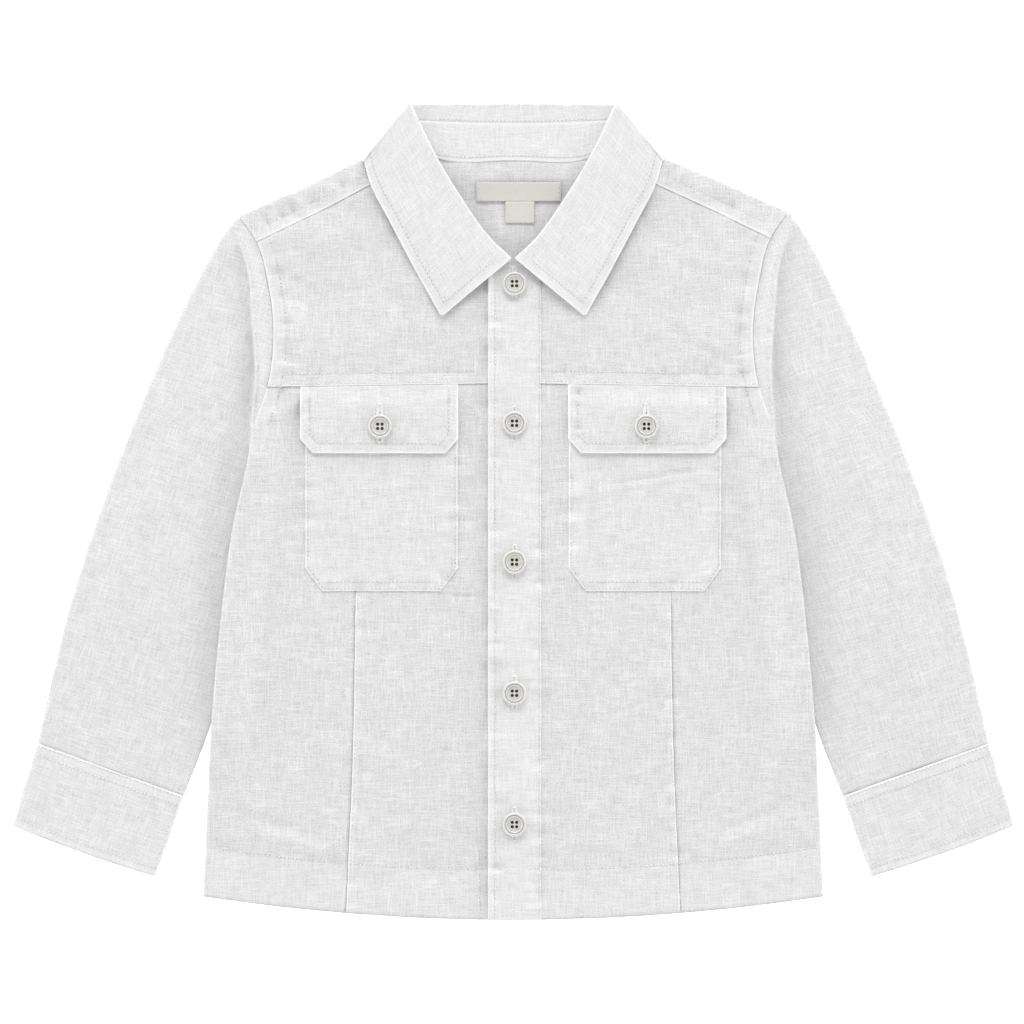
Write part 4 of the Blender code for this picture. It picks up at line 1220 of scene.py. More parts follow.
# Borders of every grid are whiter: a rolled edge with a painted highlight along it
ROLLED_EDGE_HIGHLIGHT = 1.1
EDGE_RINGS = (
    # rings of points in from the border, share of the rolled edge from there on
    (1, 0.25),
    (2, 0.0),
)


def shell(middle, wall, closed=False):
    """Closed wall round a middle surface.

    Both faces lie half a wall out along the normals, and a half-round rim joins
    them round the border. A closed grid's last column is next to its first. Also
    gives the grid point that each point takes its grain from.
    """
    rows, columns = middle.shape[:2]
    half = np.broadcast_to(wall / 2, (rows, columns)).reshape(-1, 1)
    normal = surface_normals(middle, closed).reshape(-1, 3)
    flat = middle.reshape(-1, 3)
    index = np.arange(rows * columns).reshape(rows, columns)
    if closed:
        loops = [index[0], index[-1][::-1]]
        inner = [index[1], index[-2][::-1]]
        wrapped = np.concatenate([index, index[:, :1]], axis=1)
    else:
        loops = [np.concatenate([index[0, :-1], index[:-1, -1], index[-1, :0:-1], index[:0:-1, 0]])]
        inner = [np.concatenate([index[1, :-1], index[:-1, -2], index[-2, :0:-1], index[:0:-1, 1]])]
        wrapped = index
    face = np.stack([wrapped[:-1, :-1], wrapped[:-1, 1:], wrapped[1:, 1:], wrapped[1:, :-1]], axis=-1)
    face = face.reshape(-1, 4)

    top = flat + half * normal
    bottom = flat - half * normal
    rims = []
    rim_faces = []
    source = [index.ravel(), index.ravel()]
    count = 2 * rows * columns
    for loop, inside in zip(loops, inner):
        edge = flat[loop]
        up = normal[loop]
        out = unit(np.cross(np.roll(edge, -1, axis=0) - np.roll(edge, 1, axis=0), up))
        room = np.linalg.norm(edge - flat[inside], axis=-1, keepdims=True)
        thick = half[loop]
        inset = np.minimum(RIM_BULGE * thick, RIM_ROOM * room)
        base = edge - inset * out
        top[loop] = base + thick * up
        bottom[loop] = base - thick * up
        rings = [loop]
        for angle in RIM_TURN:
            rims.append(base + thick * math.cos(angle) * up + inset * math.sin(angle) * out)
            rings.append(count + np.arange(len(loop)))
            source.append(loop)
            count += len(loop)
        rings.append(loop + rows * columns)
        for first, second in zip(rings, rings[1:]):
            rim_faces.append(np.stack([
                first, second, np.roll(second, -1), np.roll(first, -1)], axis=-1))
    points = np.concatenate([top, bottom, *rims])
    quads = np.concatenate([face, face[:, ::-1] + rows * columns, *rim_faces])
    return points, quads, np.concatenate(source)


def add_cloth(node, parts, material="linen", with_pieces=()):
    """Cloth piece in place of a solid, from grids with their wall, grain and doubled share, with painted
    highlight and painted shade at edges.
    """
    points, quads, grain, layers = [], [], [], []
    count = 0
    for middle, uv, tone, wall, closed in parts:
        part_points, part_quads, source = shell(middle, wall, closed)
        points.append(part_points)
        quads.append(part_quads + count)
        grain.append(uv.reshape(-1, 2)[source])
        edge = np.ones(tone.shape)
        for ring, share in EDGE_RINGS:
            edge[ring:-ring, slice(None) if closed else slice(ring, -ring)] = share
        # whiter border rings of rolled edge and painted highlight, left off where painted shade lies
        layers.append((tone + ROLLED_EDGE_HIGHLIGHT * edge * (tone >= 0)).ravel()[source])
        count += len(part_points)
    item = add_piece(
        f"{node}_cloth", np.concatenate(points), np.concatenate(quads), material,
        {"layers": np.concatenate(layers)}, np.concatenate(grain))
    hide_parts(node)
    return item


def stitching(name, paths):
    """Stitches along paths of space points and normals.

    Each stitch is a four-sided thread that rises from the cloth and goes back into
    it: its height over the cloth falls with the square of the distance from its
    middle, and it thins towards both ends.
    """
    rng = np.random.default_rng(len(name))
    share = np.array([-1.0, -0.65, 0.0, 0.65, 1.0])
    turn = np.radians([0.0, 90.0, 180.0, 270.0])
    points, painted_thread_shades = [], []
    for line, normals in paths:
        run = run_along(line)
        count = int(run[-1] / STITCH_PITCH)
        if count < 1:
            continue
        middle = (np.arange(count) + 0.5) * run[-1] / count
        place = middle[:, None] + share * STITCH_HALF

        def along(values, at):
            return np.stack([np.interp(at, run, column) for column in values.T], axis=-1)

        up = unit(along(normals, place))
        way = unit(along(line, place + STITCH_WAY) - along(line, place - STITCH_WAY))
        across = np.cross(way, up)
        stray = rng.normal(0.0, STITCH_STRAY, (count, 1, 1))
        tilt = rng.normal(0.0, STITCH_STRAY, (count, 1, 1)) * share[:, None]
        lift = THREAD_RISE * (1 - share ** 2) - THREAD_SINK * share ** 4
        centre = along(line, place) + up * lift[:, None] + across * (stray + tilt)
        radius = (THREAD_RADIUS * (1 - THREAD_THINNER * share ** 4))[:, None, None]
        ring = np.cos(turn)[:, None] * up[:, :, None] + np.sin(turn)[:, None] * across[:, :, None]
        points.append((centre[:, :, None] + radius * ring).reshape(-1, 3))
        # painted shade at both ends of each stitch, where it goes into its needle hole
        tuck = smooth(2.0 * np.abs(share) - 1.0)[None, :, None]
        painted_thread_shades.append(np.broadcast_to(tuck, (count, len(share), len(turn))).ravel())
    points = np.concatenate(points)
    start = np.arange(0, len(points), len(share) * len(turn))[:, None, None, None]
    ring = np.arange(4)[:, None] * 4
    corner = np.arange(4)
    after = (corner + 1) % 4
    tube = np.stack([ring + corner, ring + after, ring + after + 4, ring + corner + 4], axis=-1)
    ends = np.array([[[3, 2, 1, 0], [16, 17, 18, 19]]])
    quads = np.concatenate([(start + tube).reshape(-1, 4), (start + ends).reshape(-1, 4)])
    return add_piece(name, points, quads, "thread", {"tuck": np.concatenate(painted_thread_shades)})


def front_path(place, line):
    """Path of a row of stitches on the front: its plan at the height of what it lies on."""
    line = even_points(line, counted(line_length(line), PATH_GRID))
    x, y = line.T
    if place == "placket":
        height = placket_top(x, y)
    elif place.startswith("pocket_flap"):
        height = flap_top(x, y)
    elif place.startswith("pocket"):
        height = front_form(x, y) + ON_FRONT + POCKET_CLOTH
    elif place.startswith("front_yoke"):
        height = yoke_form(x, y) + CLOTH / 2
    else:
        height = front_form(x, y) + CLOTH / 2
    return lifted(line, height), upward(len(line))


def front_stitching(place):
    """All the rows of stitches on one piece of the front."""
    paths = [front_path(place, line) for where, line, *_ in FRONT_ROWS if where == place]
    return stitching(f"{place}_stitching", paths)


def make_yoke(word, side, front_edge):
    """Upper front: neck and shoulder seam above, chest seam below, armhole outside."""
    start_share = float(np.interp(max(front_edge, 0.0), FRONT_NECK.points[:, 0], FRONT_NECK.shares))
    neck_line = FRONT_NECK.at(np.linspace(start_share, 1.0, 200))
    if front_edge < 0:
        neck_line = np.concatenate([[(front_edge, FRONT_NECK_POINTS[0][1])], neck_line])
    shoulder_line = SHOULDER_SEAM - SEAM_GAP * SHOULDER_OUT
    neck_line[-1] = shoulder_line[0]
    neck_line = even_points(neck_line, counted(line_length(neck_line)))
    shoulder_line = even_points(shoulder_line, counted(line_length(shoulder_line)))
    top = np.concatenate([neck_line, shoulder_line[1:]])
    top_share = ARMHOLE.share_at_height(float(shoulder_line[-1, 1]))
    rows = counted(YOKE_LONG)
    right = ARMHOLE.at(np.linspace(YOKE_SHARE, top_share, rows))
    top[-1] = right[-1]
    bottom_x = front_edge + (right[0, 0] - front_edge) * shares_along(top)
    bottom = np.stack([bottom_x, yoke_height(bottom_x)], axis=-1)
    right[0] = bottom[-1]
    left_y = np.linspace(bottom[0, 1], top[0, 1], rows)
    left = np.stack([np.full(rows, front_edge), left_y], axis=-1)
    plan = on_side(patch(bottom, top, left, right), side)
    middle = lifted(plan, yoke_form(plan[..., 0], plan[..., 1]))
    add_cloth(
        f"front_yoke_{word}", [(middle, plan, panel_tone(plan), CLOTH, False)],
        with_pieces=[front_stitching(f"front_yoke_{word}")])


def make_centre_front(word, side, front_edge):
    """Centre front: from the chest seam to the hem, between the opening and the front seam."""
    rows = counted(CENTRE_LONG)
    seam = FRONT_SEAM.at(np.linspace(1.0, 0.0, rows)) - (SEAM_GAP / 2, 0.0)
    columns = np.linspace(0.0, 1.0, counted(CENTRE_WIDE))
    bottom_x = front_edge + columns * (seam[0, 0] - front_edge)
    top_x = front_edge + columns * (seam[-1, 0] - front_edge)
    bottom = np.stack([bottom_x, hem_height(bottom_x)], axis=-1)
    top = np.stack([top_x, yoke_height(top_x) - SEAM_GAP], axis=-1)
    seam[0] = bottom[-1]
    seam[-1] = top[-1]
    left = np.stack([np.full(rows, front_edge), np.linspace(bottom[0, 1], top[0, 1], rows)], axis=-1)
    plan = on_side(patch(bottom, top, left, seam), side)
    middle = lifted(plan, front_form(plan[..., 0], plan[..., 1]))
    add_cloth(
        f"front_centre_{word}", [(middle, plan, panel_tone(plan), CLOTH, False)],
        with_pieces=[front_stitching(f"front_centre_{word}")])


def make_side_front(word, side):
    """Side front: out to the side, where its edge rolls down over the back's edge."""
    outline = SIDE.at(np.linspace(1.0, 0.0, counted(SIDE_LONG)))
    armhole = ARMHOLE.at(np.linspace(1.0, YOKE_SHARE, counted(SIDE_ARMHOLE)))[1:]
    down = smooth((SIDE_POINTS[0][1] - outline[:, 1]) / UNDERARM_BLEND)
    bend = UNDERARM_BEND + (EDGE_BEND - UNDERARM_BEND) * down
    edge = outline - np.stack([bend + CLOTH / 2, np.zeros(len(bend))], axis=-1)
    right = np.concatenate([edge, armhole])
    turned = np.concatenate([LIP_LEAST + (1 - LIP_LEAST) * down, np.full(len(armhole), LIP_LEAST)])
    bend = np.concatenate([bend, np.full(len(armhole), UNDERARM_BEND)]) * turned
    seam = FRONT_SEAM.at(np.linspace(1.0, 0.0, len(right))) + (SEAM_GAP / 2, 0.0)
    columns = np.linspace(0.0, 1.0, counted(SIDE_WIDE))
    bottom_x = seam[0, 0] + columns * (right[0, 0] - seam[0, 0])
    top_x = seam[-1, 0] + columns * (right[-1, 0] - seam[-1, 0])
    bottom = np.stack([bottom_x, hem_height(bottom_x)], axis=-1)
    top = np.stack([top_x, yoke_height(top_x) - SEAM_GAP], axis=-1)
    seam[0] = bottom[0]
    seam[-1] = top[0]
    right[0] = bottom[-1]
    right[-1] = top[-1]
    plan = mirrored(patch(bottom, top, seam, right), side)
    panel = lifted(plan, front_form(plan[..., 0], plan[..., 1]))

    rim = panel[:, -1]
    angle = np.radians([25.0, 50.0, 70.0, 90.0])
    roll = np.repeat(rim[:, None], len(angle), axis=1)
    roll[..., 0] += side * bend[:, None] * np.sin(angle)
    roll[..., 2] -= bend[:, None] * (1 - np.cos(angle))
    foot = back_level(rim[:, 0], rim[:, 1]) - CLOTH / 2
    foot = roll[:, -1, 2] - turned * (roll[:, -1, 2] - foot)
    fall = np.repeat(roll[:, -1:], 2, axis=1)
    fall[..., 2] += np.array([0.5, 1.0]) * (foot - fall[:, 0, 2])[:, None]
    middle = np.concatenate([panel, roll, fall], axis=1)
    turn = middle[:, panel.shape[1] - 1:]
    run = np.cumsum(np.linalg.norm(np.diff(turn, axis=1), axis=-1), axis=1)
    grain = middle[..., :2].copy()
    grain[:, panel.shape[1]:, 0] = rim[:, :1] + side * run
    add_cloth(
        f"front_side_{word}", [(middle, grain, panel_tone(middle[..., :2]), CLOTH, False)])


def make_back():
    """Back panel, with a flap over each shoulder down to the forward shoulder seam."""
    side = SIDE.at(np.linspace(1.0, 0.0, counted(SIDE_LONG, BACK_GRID)))
    share = smooth((SIDE_POINTS[0][1] - side[:, 1]) / UNDERARM_BLEND)
    inset = CLOTH / 2 + UNDERARM_BEND
    side[:, 0] -= inset + (CLOTH + BACK_CLEAR - inset) * share
    side[0, 1] += BACK_SHORTER
    armhole = ARMHOLE.at(np.linspace(1.0, 0.0, counted(ARMHOLE_LONG, BACK_ARMHOLE_GRID)))[1:]
    right = np.concatenate([side, armhole])

    shoulder = even_points(np.array([NECK_SIDE, TIP]), counted(SHOULDER_LONG))
    neck = Curve((0.0, BACK_NECK_CENTRE), BACK_NECK_POINT, NECK_SIDE)
    neck = neck.at(np.linspace(0.0, 1.0, counted(BACK_NECK_LONG, LONG_GRID)))
    top_half = np.concatenate([neck, shoulder[1:]])
    hem_x = shares_along(top_half) * right[0, 0]
    bottom_half = np.stack([hem_x, hem_height(hem_x) + BACK_SHORTER], axis=-1)
    bottom_half[-1] = right[0]
    bottom = np.concatenate([mirrored(bottom_half[:0:-1], -1), bottom_half])
    top = np.concatenate([mirrored(top_half[:0:-1], -1), top_half])
    plan = patch(bottom, top, mirrored(right, -1), right)
    x, y = plan[..., 0], plan[..., 1]
    inside_neck = smooth((y - NECK_VIEW_LOW) / NECK_VIEW_FADE)
    inside_neck = inside_neck * smooth((NECK_VIEW_HALF - np.abs(x)) / NECK_VIEW_FADE)
    relief = np.maximum(swell(x, y, BACK_SEED) * NECK_SWELL, NECK_SWELL_LEAST)
    height = back_level(x, y) + inside_neck * relief
    parts = [(lifted(plan, height), plan, np.zeros(plan.shape[:2]), CLOTH, False)]

    seam = even_points(SHOULDER_SEAM, len(shoulder))
    for sign in (1, -1):
        start = mirrored(shoulder, sign)
        low = lifted(start, back_level(*start.T))
        high = lifted(start, front_form(*start.T))
        angle = np.radians(np.linspace(0.0, 180.0, 9))[:, None, None]
        over = (low + high) / 2 - np.cos(angle) * (high - low) / 2
        over[..., :2] += SHOULDER_FOLD * np.sin(angle) * SHOULDER_OUT * (sign, 1)
        run = np.linspace(0.0, 1.0, counted(SHOULDER_LAP))[1:, None, None]
        lines = shoulder + run * (seam - shoulder)
        lines[:, -1] = ARMHOLE.at(run[:, 0, 0] * SEAM_SHARE)
        lines = mirrored(lines, sign)
        flap = lifted(lines, front_form(lines[..., 0], lines[..., 1]))
        _, away = measured(mirrored(SHOULDER_SEAM, sign), lines[..., 0], lines[..., 1])
        flap[..., 2] += SEAM_RIDGE * np.exp(-(away / SEAM_RIDGE_RUN) ** 2)
        middle = np.concatenate([over, flap])
        if sign > 0:
            middle = middle[:, ::-1]
        plan = middle[..., :2]
        _, away = measured(mirrored(SHOULDER_SEAM, sign), plan[..., 0], plan[..., 1])
        # pressed seam cloth and a painted highlight along the shoulder seam; painted shade over the
        # flap's fold
        tone = np.maximum(SHOULDER_DOUBLE * band(away, SHOULDER_ROW), pressed(away))
        tone[:len(over)] -= PAINTED_EDGE_SHADE * np.sin(angle[..., 0])
        parts.append((middle, plan + GRAIN_START["shoulder"], tone, CLOTH, False))
    add_cloth("back", parts, with_pieces=[front_stitching("back")])


def crease_half(y):
    """Half width at which the sleeve's crease runs, at a height."""
    line = CREASE.points[::-1]
    return np.interp(y, line[:, 1], line[:, 0])


def sleeve_top(x, y, side):
    """Top of the sleeve: level with the front at the armhole, stepping down past the crease."""
    table = np.array(EDGE_RISE)
    step = np.interp(y, table[:, 0], table[:, 1])
    past = x - crease_half(y)
    outside = x - body_half(y)
    drop = 1 - smooth(past / CREASE_FOOT)
    ridge = CREASE_RIDGE * drop * np.exp(-(np.minimum(past, 0.0) / CREASE_INSIDE) ** 2)
    trough = CREASE_TROUGH * np.exp(-((past - 1.5 * CREASE_FOOT) / CREASE_FOOT) ** 2)
    below_tip = smooth((CREASE_TOP - y) / CREASE_TOP_FADE)
    fold = (ridge - trough) * smooth(outside / CREASE_START) * below_tip
    folded = smooth((y - CREASE_END) / CREASE_FADE)
    step = (step * drop + fold) * folded
    beside = outside + (past - CREASE_FOOT - outside) * folded
    press = SLEEVE_PRESS * (1 - smooth(beside / SLEEVE_PRESS_RUN)) * (1 - drop * folded)
    press = press * below_tip
    loft = SLEEVE_LOFT * smooth((outside - LOFT_START) / LOFT_RUN) * smooth(2 - outside / LOFT_HALF)
    loft = loft * smooth(2 - np.abs(y - LOFT_HEIGHT) / LOFT_LENGTH)
    relief = SLEEVE_SWELL * swell(side * x, y, SLEEVE_SEED) + ridges(x, y, SLEEVE_CREASES)
    relief = relief * smooth((outside - SLEEVE_CALM) / SLEEVE_CALM_RUN)
    top = FRONT_LEVEL + step + loft - press + ridges(side * x, y, FOLDS) + relief
    return np.maximum(top, SLEEVE_LOW + SLEEVE_CLOTH + LAYER_GAP)


def rounded(distance):
    """Height share of a folded edge at a distance in from it: a quarter circle."""
    share = np.clip(distance / EDGE_ROUND, 0.0, 1.0)
    return np.sqrt(np.maximum(1 - (1 - share) ** 2, 0.0))


def make_sleeve(word, side):
    """Sleeve: one piece folded along its outer edge and closed along the underarm edge."""
    shares = np.linspace(0.0, 1.0, counted(ARMHOLE_LONG, LONG_GRID))
    armhole = ARMHOLE.at(shares) + (ARMHOLE_GAP, 0.0)
    last = (YOKE_SHARE + 1) / 2
    ramp = np.clip((shares - last) / (1 - last), 0.0, 1.0)[:, None]
    armhole += ramp * (np.array(SIDE_POINTS[0]) + SLEEVE_UNDERARM_CLEAR - armhole[-1])
    underarm = Curve(*SLEEVE_INNER_POINTS).at(np.linspace(0.0, 1.0, counted(UNDERARM_LONG, LONG_GRID)))
    inner = np.concatenate([armhole, underarm])
    outer_line = Curve(np.array(SHOULDER_TIP) + SLEEVE_TIP_CLEAR, *SLEEVE_OUTER_POINTS).points
    axis = unit(np.array(CUFF_TOP_OUTER) + CUFF_TOP_INNER - SHOULDER_TIP - UNDERARM)

    def progress(line):
        reach = line @ axis
        return (reach - reach[0]) / (reach[-1] - reach[0])

    columns = [np.interp(progress(inner), progress(outer_line), column) for column in outer_line.T]
    outer = np.stack(columns, axis=-1)
    width = np.linalg.norm(outer - inner, axis=1)[:, None]
    is_open = (np.arange(len(inner)) < len(armhole))[:, None]

    half_wall = SLEEVE_CLOTH / 2
    edge_cells = np.array(SLEEVE_EDGE_CELLS) * EDGE_ROUND
    span = np.linspace(0.0, 1.0, counted(SLEEVE_WIDE, SLEEVE_GRID))[1:-1]
    start = np.where(is_open, 0.0, half_wall)
    end = width - half_wall
    most = SLEEVE_EDGE_MOST * (end - start)
    near = start + np.minimum(edge_cells, most * edge_cells / EDGE_ROUND)
    far = end - np.minimum(edge_cells[::-1], most * edge_cells[::-1] / EDGE_ROUND)
    reach = np.concatenate([near, near[:, -1:] + span * (far[:, :1] - near[:, -1:]), far], axis=1)
    plan = inner[:, None] + reach[..., None] * unit(outer - inner)[:, None]
    x, y = plan[..., 0], plan[..., 1]
    top = sleeve_top(x, y, side)
    openness = rounded(end - reach) * np.where(is_open, 1.0, rounded(reach - start))
    centre = (top + SLEEVE_LOW) / 2
    over = lifted(plan, centre + openness * (top - SLEEVE_LOW) / 2)
    under = lifted(plan, centre - openness * (top - SLEEVE_LOW) / 2)
    keep = np.arange(0, over.shape[1] - 1, 2)[::-1]
    middle = mirrored(np.concatenate([over, under[:, keep]], axis=1), side)
    # painted shade along the folded outer edge, and a painted shadow line beside the armhole seam
    bare = np.maximum(1 - openness, np.where(is_open, np.exp(-reach / EDGE_FADE), 0.0))
    tone = SLEEVE_TONE * (1 - bare) - PAINTED_EDGE_SHADE * bare
    tone = np.concatenate([tone, tone[:, keep]], axis=1)
    if side > 0:
        middle, tone = middle[::-1], tone[::-1]
    across = np.array([axis[1], -axis[0]]) * (side, 1.0)
    along = axis * (side, 1.0)
    steps = np.linalg.norm(np.diff(middle, axis=1), axis=-1)
    run = np.concatenate([np.zeros((len(middle), 1)), np.cumsum(steps, axis=1)], axis=1)
    grain = np.stack([middle[:, :1, :2] @ across - run, middle[..., :2] @ along], axis=-1)
    grain = grain + GRAIN_START["sleeve"] * side
    add_cloth(
        f"sleeve_{word}", [(middle, grain, tone, SLEEVE_CLOTH, False)])


def cuff_plan(across, down):
    """Plan points of a cuff at shares across it and down it, bowed a little along its end."""
    way = unit(np.array(CUFF_END_OUTER) - np.array(CUFF_TOP_OUTER))
    top_start = np.array(CUFF_TOP_OUTER) + SEAM_GAP * way
    top_end = np.array(CUFF_TOP_INNER) + SEAM_GAP * way
    start = top_start + down[..., None] * (np.array(CUFF_END_OUTER) - top_start)
    end = top_end + down[..., None] * (np.array(CUFF_END_INNER) - top_end)
    bow = down * CUFF_END_BOW * 4 * across * (1 - across)
    return start + across[..., None] * (end - start) + bow[..., None] * way


def cuff_relief(across, down, seed):
    """Swell of the cuff and the puckers of its rows, which fade away from each row."""
    away = down * CUFF_DEPTH
    run = across * CUFF_RUN
    total = CUFF_SWELL * swell(run, away, seed)
    for place, height in CUFF_ROWS:
        near = np.exp(-((away - place) / PUCKER_REACH) ** 2)
        groove = CUFF_GROOVE * np.exp(-((away - place) / ROW_GROOVE) ** 2)
        puckers = noise(run / PUCKER_WAVE, away / CUFF_PUCKER_LENGTH, seed + int(place))
        total += height * (puckers * near - groove)
    return total


def make_cuff(word, side):
    """Cuff: a flattened band below the sleeve, with two rows under its seam and one above its end."""
    seed = CUFF_SEED + side
    high = FRONT_LEVEL + BAND_CLOTH - CLOTH
    low = BAND_CLOTH / 2
    edge_cells = BAND_CLOTH / 2 + np.array(CUFF_EDGE_CELLS) * EDGE_ROUND
    span = np.linspace(0.0, 1.0, counted(CUFF_WIDTH))[1:-1]
    reach = np.concatenate([
        edge_cells,
        edge_cells[-1] + span * (CUFF_WIDTH - 2 * edge_cells[-1]),
        CUFF_WIDTH - edge_cells[::-1],
    ])
    across = np.broadcast_to(reach / CUFF_WIDTH, (counted(CUFF_DEPTH, FINE_GRID), len(reach)))
    down = np.broadcast_to(np.linspace(0.0, 1.0, len(across))[:, None], across.shape)
    openness = rounded(np.minimum(reach, CUFF_WIDTH - reach) - BAND_CLOTH / 2)
    openness = np.broadcast_to(openness, across.shape)
    plan = cuff_plan(across, down)
    relief = cuff_relief(across, down, seed) * openness
    over = lifted(plan, (high + low) / 2 + openness * (high - low) / 2 + relief)
    under = lifted(plan, (high + low) / 2 - openness * (high - low) / 2)

    def all_round(upper, lower):
        return np.concatenate([upper, lower[:, -2:0:-2]], axis=1)

    middle = mirrored(all_round(over, under), side)
    run = all_round(across, across) * CUFF_WIDTH
    away = all_round(down, down) * CUFF_DEPTH
    tone = np.maximum.reduce([
        CUFF_DOUBLE * band(away, CUFF_ROW),
        CUFF_DOUBLE * band(CUFF_DEPTH - away, CUFF_END_ROW),
        np.full(away.shape, CUFF_TONE),
    ])
    # painted shade at the cuff's folded sides and along its end
    bare = np.maximum(1 - all_round(openness, openness), np.exp((away - CUFF_DEPTH) / EDGE_FADE))
    tone = tone * (1 - bare) - PAINTED_EDGE_SHADE * bare
    grain = np.stack([run, away], axis=-1) + GRAIN_START["cuff"] * side
    if side < 0:
        middle, grain, tone = middle[::-1], grain[::-1], tone[::-1]
    paths = []
    share = np.linspace(0.02, 0.98, 160)
    for place, _ in CUFF_ROWS:
        depth = np.full(len(share), place / CUFF_DEPTH)
        line = lifted(
            mirrored(cuff_plan(share, depth), side),
            high + BAND_CLOTH / 2 + cuff_relief(share, depth, seed))
        paths.append((line, upward(len(line))))
    add_cloth(
        f"cuff_{word}", [(middle, grain, tone, BAND_CLOTH, True)],
        with_pieces=[stitching(f"cuff_{word}_stitching", paths)])


def collar_stations(back_count, turn_count, front_shares):
    """Stations along half the collar, from the centre back round to the front end.

    Each has a core point on the roll line, the way up the collar with the fall's
    width as its length, the way out of the fold, the stand seam's distance, the
    drop of the fall's edge, and the point on the neck seam.
    """
    roll = Curve(*ROLL_POINTS)
    edge = Curve(*FALL_EDGE_POINTS)
    corner = roll.points[-1]
    corner_edge = edge.points[-1]
    neck_end = NECK_SIDE + STAND_CLEAR * unit(NECK_SIDE - TIP)
    back_neck = Curve(neck_end, BACK_NECK_POINT, (0.0, BACK_NECK_CENTRE))
    front_neck = Curve(*FRONT_NECK_POINTS[1:], neck_end)
    up_side = unit(corner - corner_edge)
    out_side = np.array([up_side[1], -up_side[0]])

    back = np.linspace(1.0, 0.0, back_count)
    core = corner + back[:, None] * (np.array([0.0, ROLL_BACK]) - corner)
    foot = corner_edge + back[:, None] * (np.array([0.0, FALL_BACK_EDGE]) - corner_edge)
    plan = back_neck.at(back)
    first = (
        core, core - foot, np.tile((0.0, 0.0, -1.0), (back_count, 1)),
        STAND_SEAM_SIDE + back * (STAND_SEAM_BACK - STAND_SEAM_SIDE), np.zeros(back_count),
        lifted(plan, back_level(*plan.T)))

    angle = np.radians(np.linspace(180.0, 0.0, turn_count + 2))[1:-1, None]
    low = back_level(*neck_end)
    high = FRONT_LEVEL + edge_rise(*neck_end, 1) + neck_rise(*neck_end)
    outward = np.concatenate([FOLD_SHARE * np.sin(angle) * out_side, np.cos(angle)], axis=1)
    neck = np.concatenate([
        neck_end + SHOULDER_FOLD * np.sin(angle) * SHOULDER_OUT,
        (low + high) / 2 + np.cos(angle) * (high - low) / 2], axis=1)
    still = np.ones((turn_count, 1))
    second = (
        still * corner, still * (corner - corner_edge), outward,
        np.full(turn_count, STAND_SEAM_SIDE), np.zeros(turn_count), neck)

    front = front_shares
    core = roll.at(front)
    plan = front_neck.at(front)
    level = FRONT_LEVEL + edge_rise(*plan.T, 1) + neck_rise(*plan.T)
    third = (
        core, core - edge.at(front), upward(len(front)),
        STAND_SEAM_FRONT + front * (STAND_SEAM_SIDE - STAND_SEAM_FRONT),
        FALL_DROP_POINT + front * (FALL_DROP_SIDE - FALL_DROP_POINT), lifted(plan, level))
    return [np.concatenate(columns) for columns in zip(first, second, third)]


def both_halves(half, side_sign=True):
    """Strip grid of the whole collar from its +X half, whose first row is the centre back."""
    other = mirrored(half[:0:-1], -1) if side_sign else half[:0:-1]
    return np.concatenate([other, half])


def sampled(grid, rows, columns):
    """Grid values at broken row and column numbers, blended between the four nearest."""
    row = np.clip(np.floor(rows).astype(int), 0, grid.shape[0] - 2)
    column = np.clip(np.floor(columns).astype(int), 0, grid.shape[1] - 2)
    v = (rows - row)[:, None]
    u = (columns - column)[:, None]
    low = grid[row, column] * (1 - u) + grid[row, column + 1] * u
    high = grid[row + 1, column] * (1 - u) + grid[row + 1, column + 1] * u
    return low * (1 - v) + high * v


